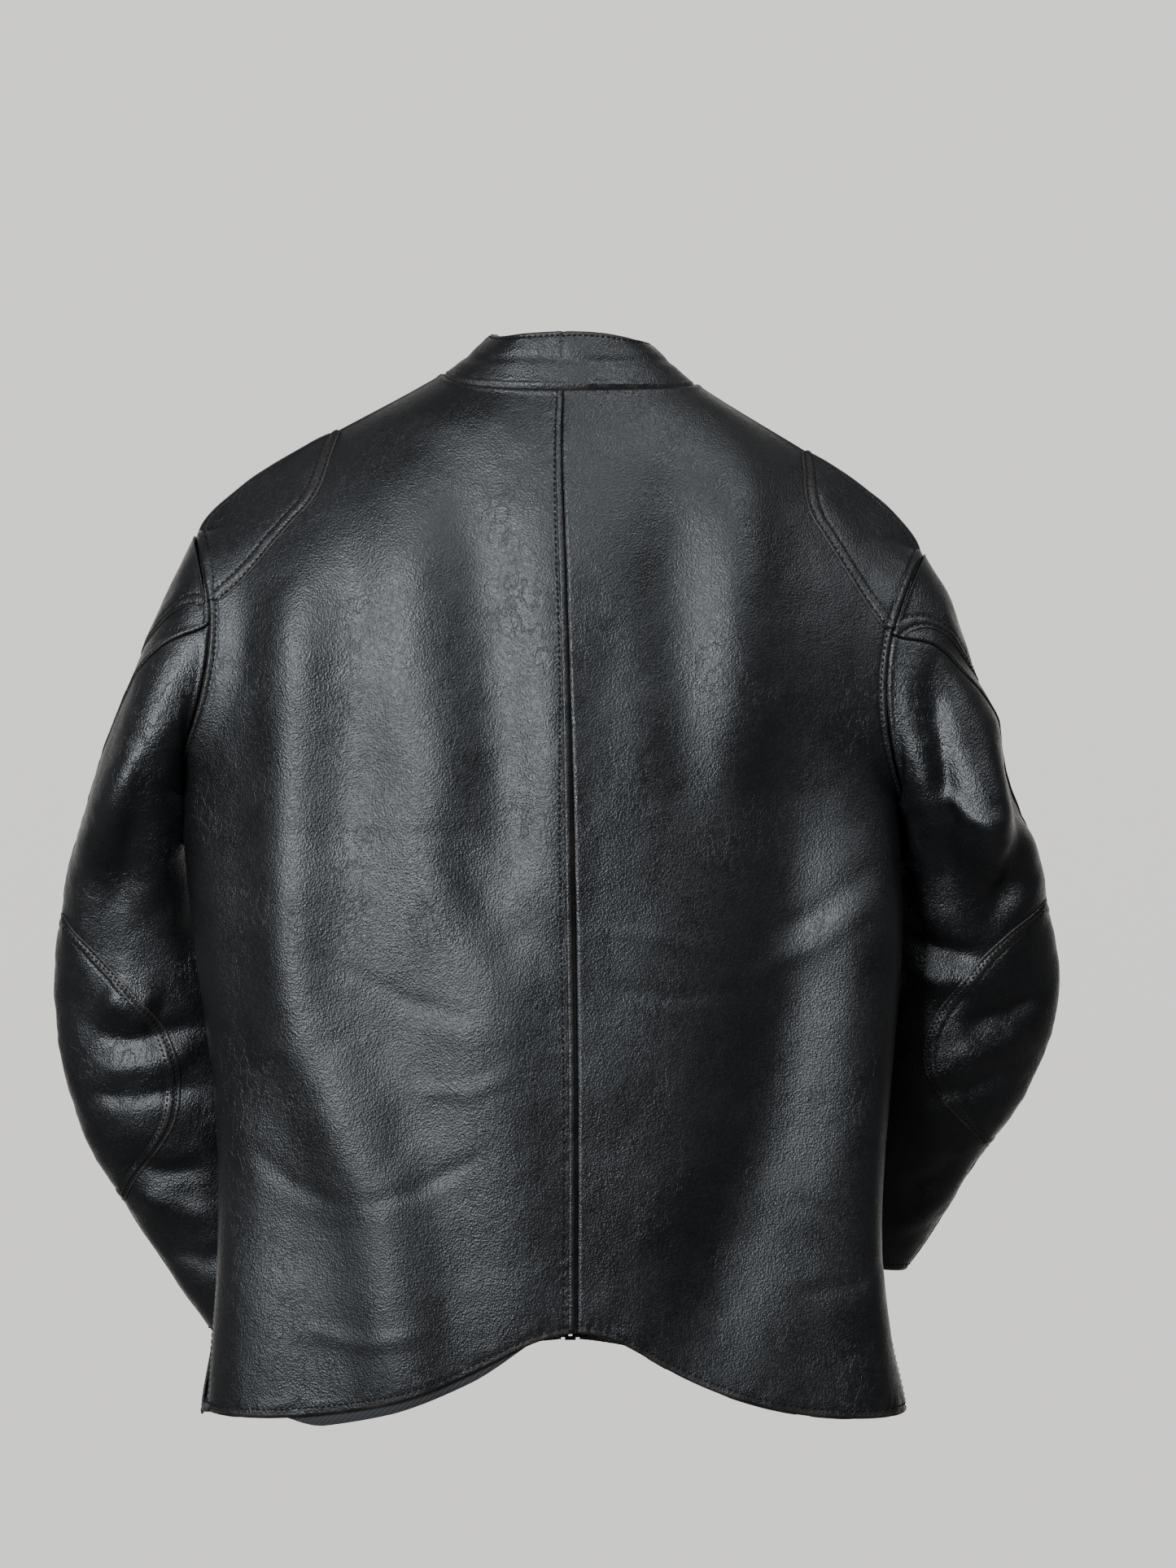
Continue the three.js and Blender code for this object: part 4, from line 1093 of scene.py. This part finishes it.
class JACKET_OT_sleeves(Operator):
    """Builds the sleeves: top and under sleeve, patches, linings, cuffs and their stitching"""

    bl_idname = "jacket.sleeves"
    bl_label = "Sleeves"

    def blend(self, obj, k):
        """Bakes a piece's transform into its mesh, leaving it unattached to the body or the arm."""
        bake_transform(obj)

    def leather(self, k, part, ws, gs):
        side, out = SIDES[k], -SIGN[k]
        points, degrees, g = sleeve_points(k, ws, gs)
        normals = base_normals(points) * out
        first, last, top, cuff = edge_distances(points)
        back_d, front_d = (last, first) if part == "top" else (first, last)
        h = sleeve_relief(k, points, degrees, g) + seam(front_d, 0.7, 0.3) + seam(top, 0.5, 0.9, 2.4)
        h = h - 0.5 * bell(cuff - 5, 1.4) - 0.6 * bell(cuff, 1)
        h = h + (0.9 if part == "top" else -0.2) * bell(back_d - 1.8, 1.9) - 0.9 * bell(back_d, 0.9)
        h = h + 0.35 * bell(back_d, 9) * noise(points, 6, 56)
        done = place(points, normals, h)
        name = f"sleeve_{part}_{side}"
        SKINS[name] = Skin(ws, gs, done, out)
        wear = 0.9 * bell(cuff, 2.5) + 0.35 * bell(back_d, 2) + 0.4 * bell(top, 2)
        cad = (f"sleeve_{part}_head_{side}", name)
        obj = piece(f"{name}_skin", cad, done, sizes().leather, "sleeve_leather", wear, out, None)
        self.blend(obj, k)

    def inside(self, k, name, cad, rows, key, thickness, body):
        """A lining or facing 2.6 mm inside the leather."""
        ws = np.concatenate([0.004 + 0.996 * spread(40, 0.3), 1 + 0.996 * spread(70, 0.3)[1:]])
        points, degrees, g = sleeve_points(k, ws, rows)
        normals = base_normals(points) * -SIGN[k]
        done = place(points, normals, sleeve_relief(k, points, degrees, g) - 2.6)
        return piece(name, cad, done, thickness, key, 0, -SIGN[k], body)

    def elbow(self, k):
        """The elbow patch, on the under sleeve."""
        side, under = SIDES[k], SKINS[f"sleeve_under_{SIDES[k]}"]
        start, end, degrees = ELBOW_PATCH[k]
        t = np.linspace(0, 1, 130)
        q = np.linspace(0, 1, 70)
        qq, tt = np.meshgrid(q, t)
        g = mix(start, end, tt)
        wide = degrees * (0.16 + 0.84 * np.sin(np.pi * tt) ** 0.75)
        seam_at = back_seam(k, g)
        w = 1 + np.clip((4 + wide * qq - seam_at) / (FRONT_SEAM + 360 - seam_at), 0, 1)
        points, normals = under.at(w, g)
        _, last, low, high = edge_distances(points)
        ends = np.minimum(low, high)
        edge_d = np.minimum(last, ends)
        name = f"elbow_patch_{side}"
        skin, obj = patch_piece(name, points, edge_d, -SIGN[k], normals, None, "sleeve_leather")
        self.blend(obj, k)
        lines = []
        for row in (3, 5.5, 9.5):
            keep = (edge_d.max(axis=1) > row) & (last[:, 0] > row + 2) & (ends[:, 20] > row * 0.8)
            pos = np.array([np.interp(-row, -last[j], q) for j in range(len(t))])
            if keep.sum() > 4:
                lines.append(skin.line(pos[keep], t[keep], 0.05))
        stitches(f"{name}_stitches", lines, 4.0, f"arm_{side}")

    def cap(self, k):
        """The cap patch over the sleeve head, across the back-arm seam."""
        side = SIDES[k]
        reach, degrees = CAP_PATCH[k]
        q = np.linspace(-0.985, 0.985, 110)
        p = np.linspace(0, 1, 60)
        pp, qq = np.meshgrid(p, q)
        g = mix(0.03, mix(0.1, reach, np.cos(qq * np.pi / 2) ** 1.3) + 0.08, pp)
        w = around(k, g, qq * degrees)
        top = SKINS[f"sleeve_top_{side}"].at(np.clip(w, 0, 1), g)
        under = SKINS[f"sleeve_under_{side}"].at(np.clip(w, 1, 2), g)
        points, normals = (np.where((w <= 1)[..., None], a, b) for a, b in zip(top, under))
        far = edge_distances(points)[1]
        name = f"cap_patch_{side}"
        skin, _ = patch_piece(name, points, far, SIGN[k], normals, "body", "sleeve_leather")
        lines = []
        for row in (3, 11):
            keep = far[:, 0] > row + 2
            pos = np.array([np.interp(-row, -far[j], p) for j in range(len(q))])
            lines.append(skin.line(pos[keep], np.linspace(0, 1, len(q))[keep], 0.05))
        stitches(f"{name}_stitches", lines)

    def execute(self, context):
        fine = look().fineness
        head, lower = mix(-0.05, 3, spread(int(90 * fine), 0.2)), mix(3, 8, spread(int(230 * fine), 0.3))
        gs = np.concatenate([head, lower[1:]])
        for k, side in enumerate(SIDES):
            self.leather(k, "top", spread(int(90 * fine), 0.5), gs)
            self.leather(k, "under", 1 + spread(int(150 * fine), 0.5), gs)
            cad = (f"sleeve_lining_head_{side}", f"sleeve_lining_{side}")
            rows = mix(0.12, 7.56, spread(120, 0.2))
            obj = self.inside(k, f"sleeve_lining_{side}_cloth", cad, rows, "lining", 0.7, None)
            self.blend(obj, k)
            cad = f"cuff_facing_{side}"
            rows = mix(7.57, 7.985, spread(16, 0.2))
            self.inside(k, f"{cad}_skin", [cad], rows, "leather", 1.0, f"arm_{side}")
            self.elbow(k)
            self.cap(k)
            lines = []
            for part, span in (("top", (0.01, 0.99)), ("under", (1.01, 1.99))):
                lines.append(SKINS[f"sleeve_{part}_{side}"].line(np.linspace(*span, 160), np.full(160, 7.94)))
            stitches(f"cuff_{side}_stitches", lines, body=f"arm_{side}")
        return {"FINISHED"}


# ---------------------------------------------------------------- hardware and small pieces
def boxes(name, cad, key, centres, size):
    """Many equal small blocks, each chamfered on the side facing the front: zip teeth."""
    corners = np.array([(x, y, z) for y in (1, -1) for z in (-1, 1) for x in (-1, 1)], float)
    corners[4:] *= (0.55, 1, 0.6)
    quads = np.array([(0, 1, 3, 2), (4, 6, 7, 5), (0, 4, 5, 1), (2, 3, 7, 6), (0, 2, 6, 4), (1, 5, 7, 3)])
    centres = np.asarray(centres, float)
    v = centres[:, None] + (corners * np.array(size) / 2)[None]
    f = quads[None] + (np.arange(len(centres)) * 8)[:, None, None]
    mesh = bpy.data.meshes.new(name)
    mesh.from_pydata((v.reshape(-1, 3) * MM).tolist(), [], f.reshape(-1, 4).tolist())
    mesh.materials.append(material(key))
    obj = linked(name, mesh)
    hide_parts(cad)
    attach(obj, "body")


ZIP_TOP, ZIP_Y = -68, -76
TOOTH_STEP, TOOTH_SIZE = 2.6, (3.4, 2.4, 1.35)
# low enough to clear the slider at the end of its run
ZIP_BOX_RISE, ZIP_BOX_SIZE = 1.6, (8.4, 3.6, 3.2)


class JACKET_OT_front_zip(Operator):
    """Builds the front zip's tapes, its two rows of teeth and its bottom box"""

    bl_idname = "jacket.front_zip"
    bl_label = "Front zip"

    def execute(self, context):
        bottom = -sizes().back_length - HEM_BELOW - sizes().front_hem_drop
        count = int((ZIP_TOP - 2 - bottom - 12) / TOOTH_STEP)
        for k, side in enumerate(SIDES):
            xx, zz = np.meshgrid(SIGN[k] * np.linspace(1.4, 12.3, 9), np.linspace(bottom + 2, ZIP_TOP, 160))
            points = stack(xx, ZIP_Y + 0.5 + 0.12 * noise(stack(xx, 0, zz), 9, 61), zz)
            name = f"zip_tape_{side}"
            piece(f"{name}_cloth", [name], points, 0.7, "tape", out=SIGN[k], offset=0.0)
            rows = bottom + 11 + (np.arange(count) + 0.5 * k) * TOOTH_STEP
            centres = stack(SIGN[k] * 0.9, ZIP_Y, rows)
            boxes(f"zip_teeth_{side}_metal", f"zip_teeth_{side}", "metal", centres, TOOTH_SIZE)
        box = [(0, ZIP_Y, bottom + ZIP_BOX_RISE)]
        boxes("zip_bottom_box_metal", "zip_bottom_box", "tape", box, ZIP_BOX_SIZE)
        return {"FINISHED"}


class JACKET_OT_hardware(Operator):
    """Gives the zips, tab, snap, pockets, loop and label their finishes"""

    bl_idname = "jacket.hardware"
    bl_label = "Zips and small pieces"

    def execute(self, context):
        slots = {p["node"]: p["material_slot"] for p in frame["record"]["subparts"]}
        # leather_black is listed under three materials; these pieces are cut from the body's leather
        keys = {slot: key for key, slot in SLOTS.items() if key not in ("sleeve_leather", "thread")}
        for name, node in frame["nodes"].items():
            if not node.hide_render:
                node.data.materials.clear()
                node.data.materials.append(material(keys[slots[name]]))
        return {"FINISHED"}


# ---------------------------------------------------------------- camera and light
class JACKET_OT_camera(Operator):
    """Sets up the camera behind the jacket"""

    bl_idname = "jacket.camera"
    bl_label = "Camera"

    def execute(self, context):
        data = bpy.data.cameras.new("Camera")
        data.lens, data.sensor_width, data.clip_end = 74, 36, 50
        camera = bpy.data.objects.new("Camera", data)
        camera.location = (-0.0135, 2.389, -0.298)
        camera.rotation_euler = (math.radians(90), 0, math.radians(180))
        context.scene.collection.objects.link(camera)
        context.scene.camera = camera
        return {"FINISHED"}


def area_light(name, location, target, size, power, colour):
    data = bpy.data.lights.new(name, "AREA")
    data.shape, data.size, data.size_y = "RECTANGLE", size[0], size[1]
    data.energy, data.color = power, colour
    light = bpy.data.objects.new(name, data)
    light.location = location
    light.rotation_euler = (Vector(target) - Vector(location)).to_track_quat("-Z", "Y").to_euler()
    bpy.context.scene.collection.objects.link(light)


def ramp(tree, value, levels, interpolation="LINEAR"):
    """Maps a value from levels 0 to 1 onto levels 2 to 3."""
    node = tree.nodes.new("ShaderNodeMapRange")
    node.interpolation_type = interpolation
    for port, level in zip(list(node.inputs)[1:5], levels):
        port.default_value = level
    tree.links.new(value, node.inputs[0])
    return node.outputs[0]


def product(tree, a, b):
    node = tree.nodes.new("ShaderNodeMath")
    node.operation = "MULTIPLY"
    tree.links.new(a, node.inputs[0])
    tree.links.new(b, node.inputs[1])
    return node.outputs[0]


class JACKET_OT_stage(Operator):
    """Lights the jacket in a pale room with a window to one side"""

    bl_idname = "jacket.stage"
    bl_label = "Room and light"

    def execute(self, context):
        world = bpy.data.worlds.new("Room")
        world.use_nodes = True
        tree = world.node_tree
        background = tree.nodes["Background"]
        where = tree.nodes.new("ShaderNodeTexCoord")
        split = tree.nodes.new("ShaderNodeSeparateXYZ")
        tree.links.new(where.outputs["Generated"], split.inputs[0])
        # a bright wall in front of the jacket, darker low down and towards the camera
        wall = ramp(tree, split.outputs["Y"], (-0.96, -0.5, 1.18, 0.2), "SMOOTHSTEP")
        height = ramp(tree, split.outputs["Z"], (-0.5, 0.6, 0.93, 1.03))
        near = ramp(tree, split.outputs["Y"], (-0.3, 0.7, 1.0, 0.42))
        background.inputs["Color"].default_value = (1.0, 0.985, 0.955, 1)
        level = product(tree, product(tree, wall, height), near)
        tree.links.new(level, background.inputs["Strength"])
        context.scene.world = world
        area_light("Window", (1.3, 2.5, 0.15), (0, 0, -0.4), (1.0, 1.9), 138, (0.88, 0.94, 1.0))
        area_light("Far window", (-1.2, 2.1, 2.2), (0, 0, -0.2), (1.6, 1.0), 65, (0.9, 0.95, 1.0))
        area_light("Front fill", (0, -2.9, -1.4), (0, 0, -0.4), (1.1, 0.9), 180, (1.0, 0.99, 0.97))
        return {"FINISHED"}


class JACKET_PT_panel(Panel):
    """Sizes and build buttons"""

    bl_idname = "JACKET_PT_panel"
    bl_label = "Riding Jacket"
    bl_space_type = "VIEW_3D"
    bl_region_type = "UI"
    bl_category = "Jacket"

    def draw(self, context):
        layout = self.layout
        for group in (context.scene.jacket_body, context.scene.jacket_look):
            box = layout.box()
            for key in group.__annotations__:
                box.prop(group, key)
        for operator in STEPS:
            layout.operator(operator.bl_idname)


STEPS = (
    JACKET_OT_camera,
    JACKET_OT_stage,
    JACKET_OT_panels,
    JACKET_OT_centre_welt,
    JACKET_OT_shoulder_patches,
    JACKET_OT_hem_stitches,
    JACKET_OT_body_lining,
    JACKET_OT_collar,
    JACKET_OT_sleeves,
    JACKET_OT_front_zip,
    JACKET_OT_hardware,
)
CLASSES = (JacketBody, JacketLook, *STEPS, JACKET_PT_panel)


def register():
    for cls in CLASSES:
        bpy.utils.register_class(cls)
    bpy.types.Scene.jacket_body = PointerProperty(type=JacketBody)
    bpy.types.Scene.jacket_look = PointerProperty(type=JacketLook)


def unregister():
    del bpy.types.Scene.jacket_look
    del bpy.types.Scene.jacket_body
    for cls in reversed(CLASSES):
        bpy.utils.unregister_class(cls)


def main():
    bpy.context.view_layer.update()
    register()
    for step in STEPS:
        group, name = step.bl_idname.split(".")
        getattr(getattr(bpy.ops, group), name)()


if __name__ == "__main__":
    main()
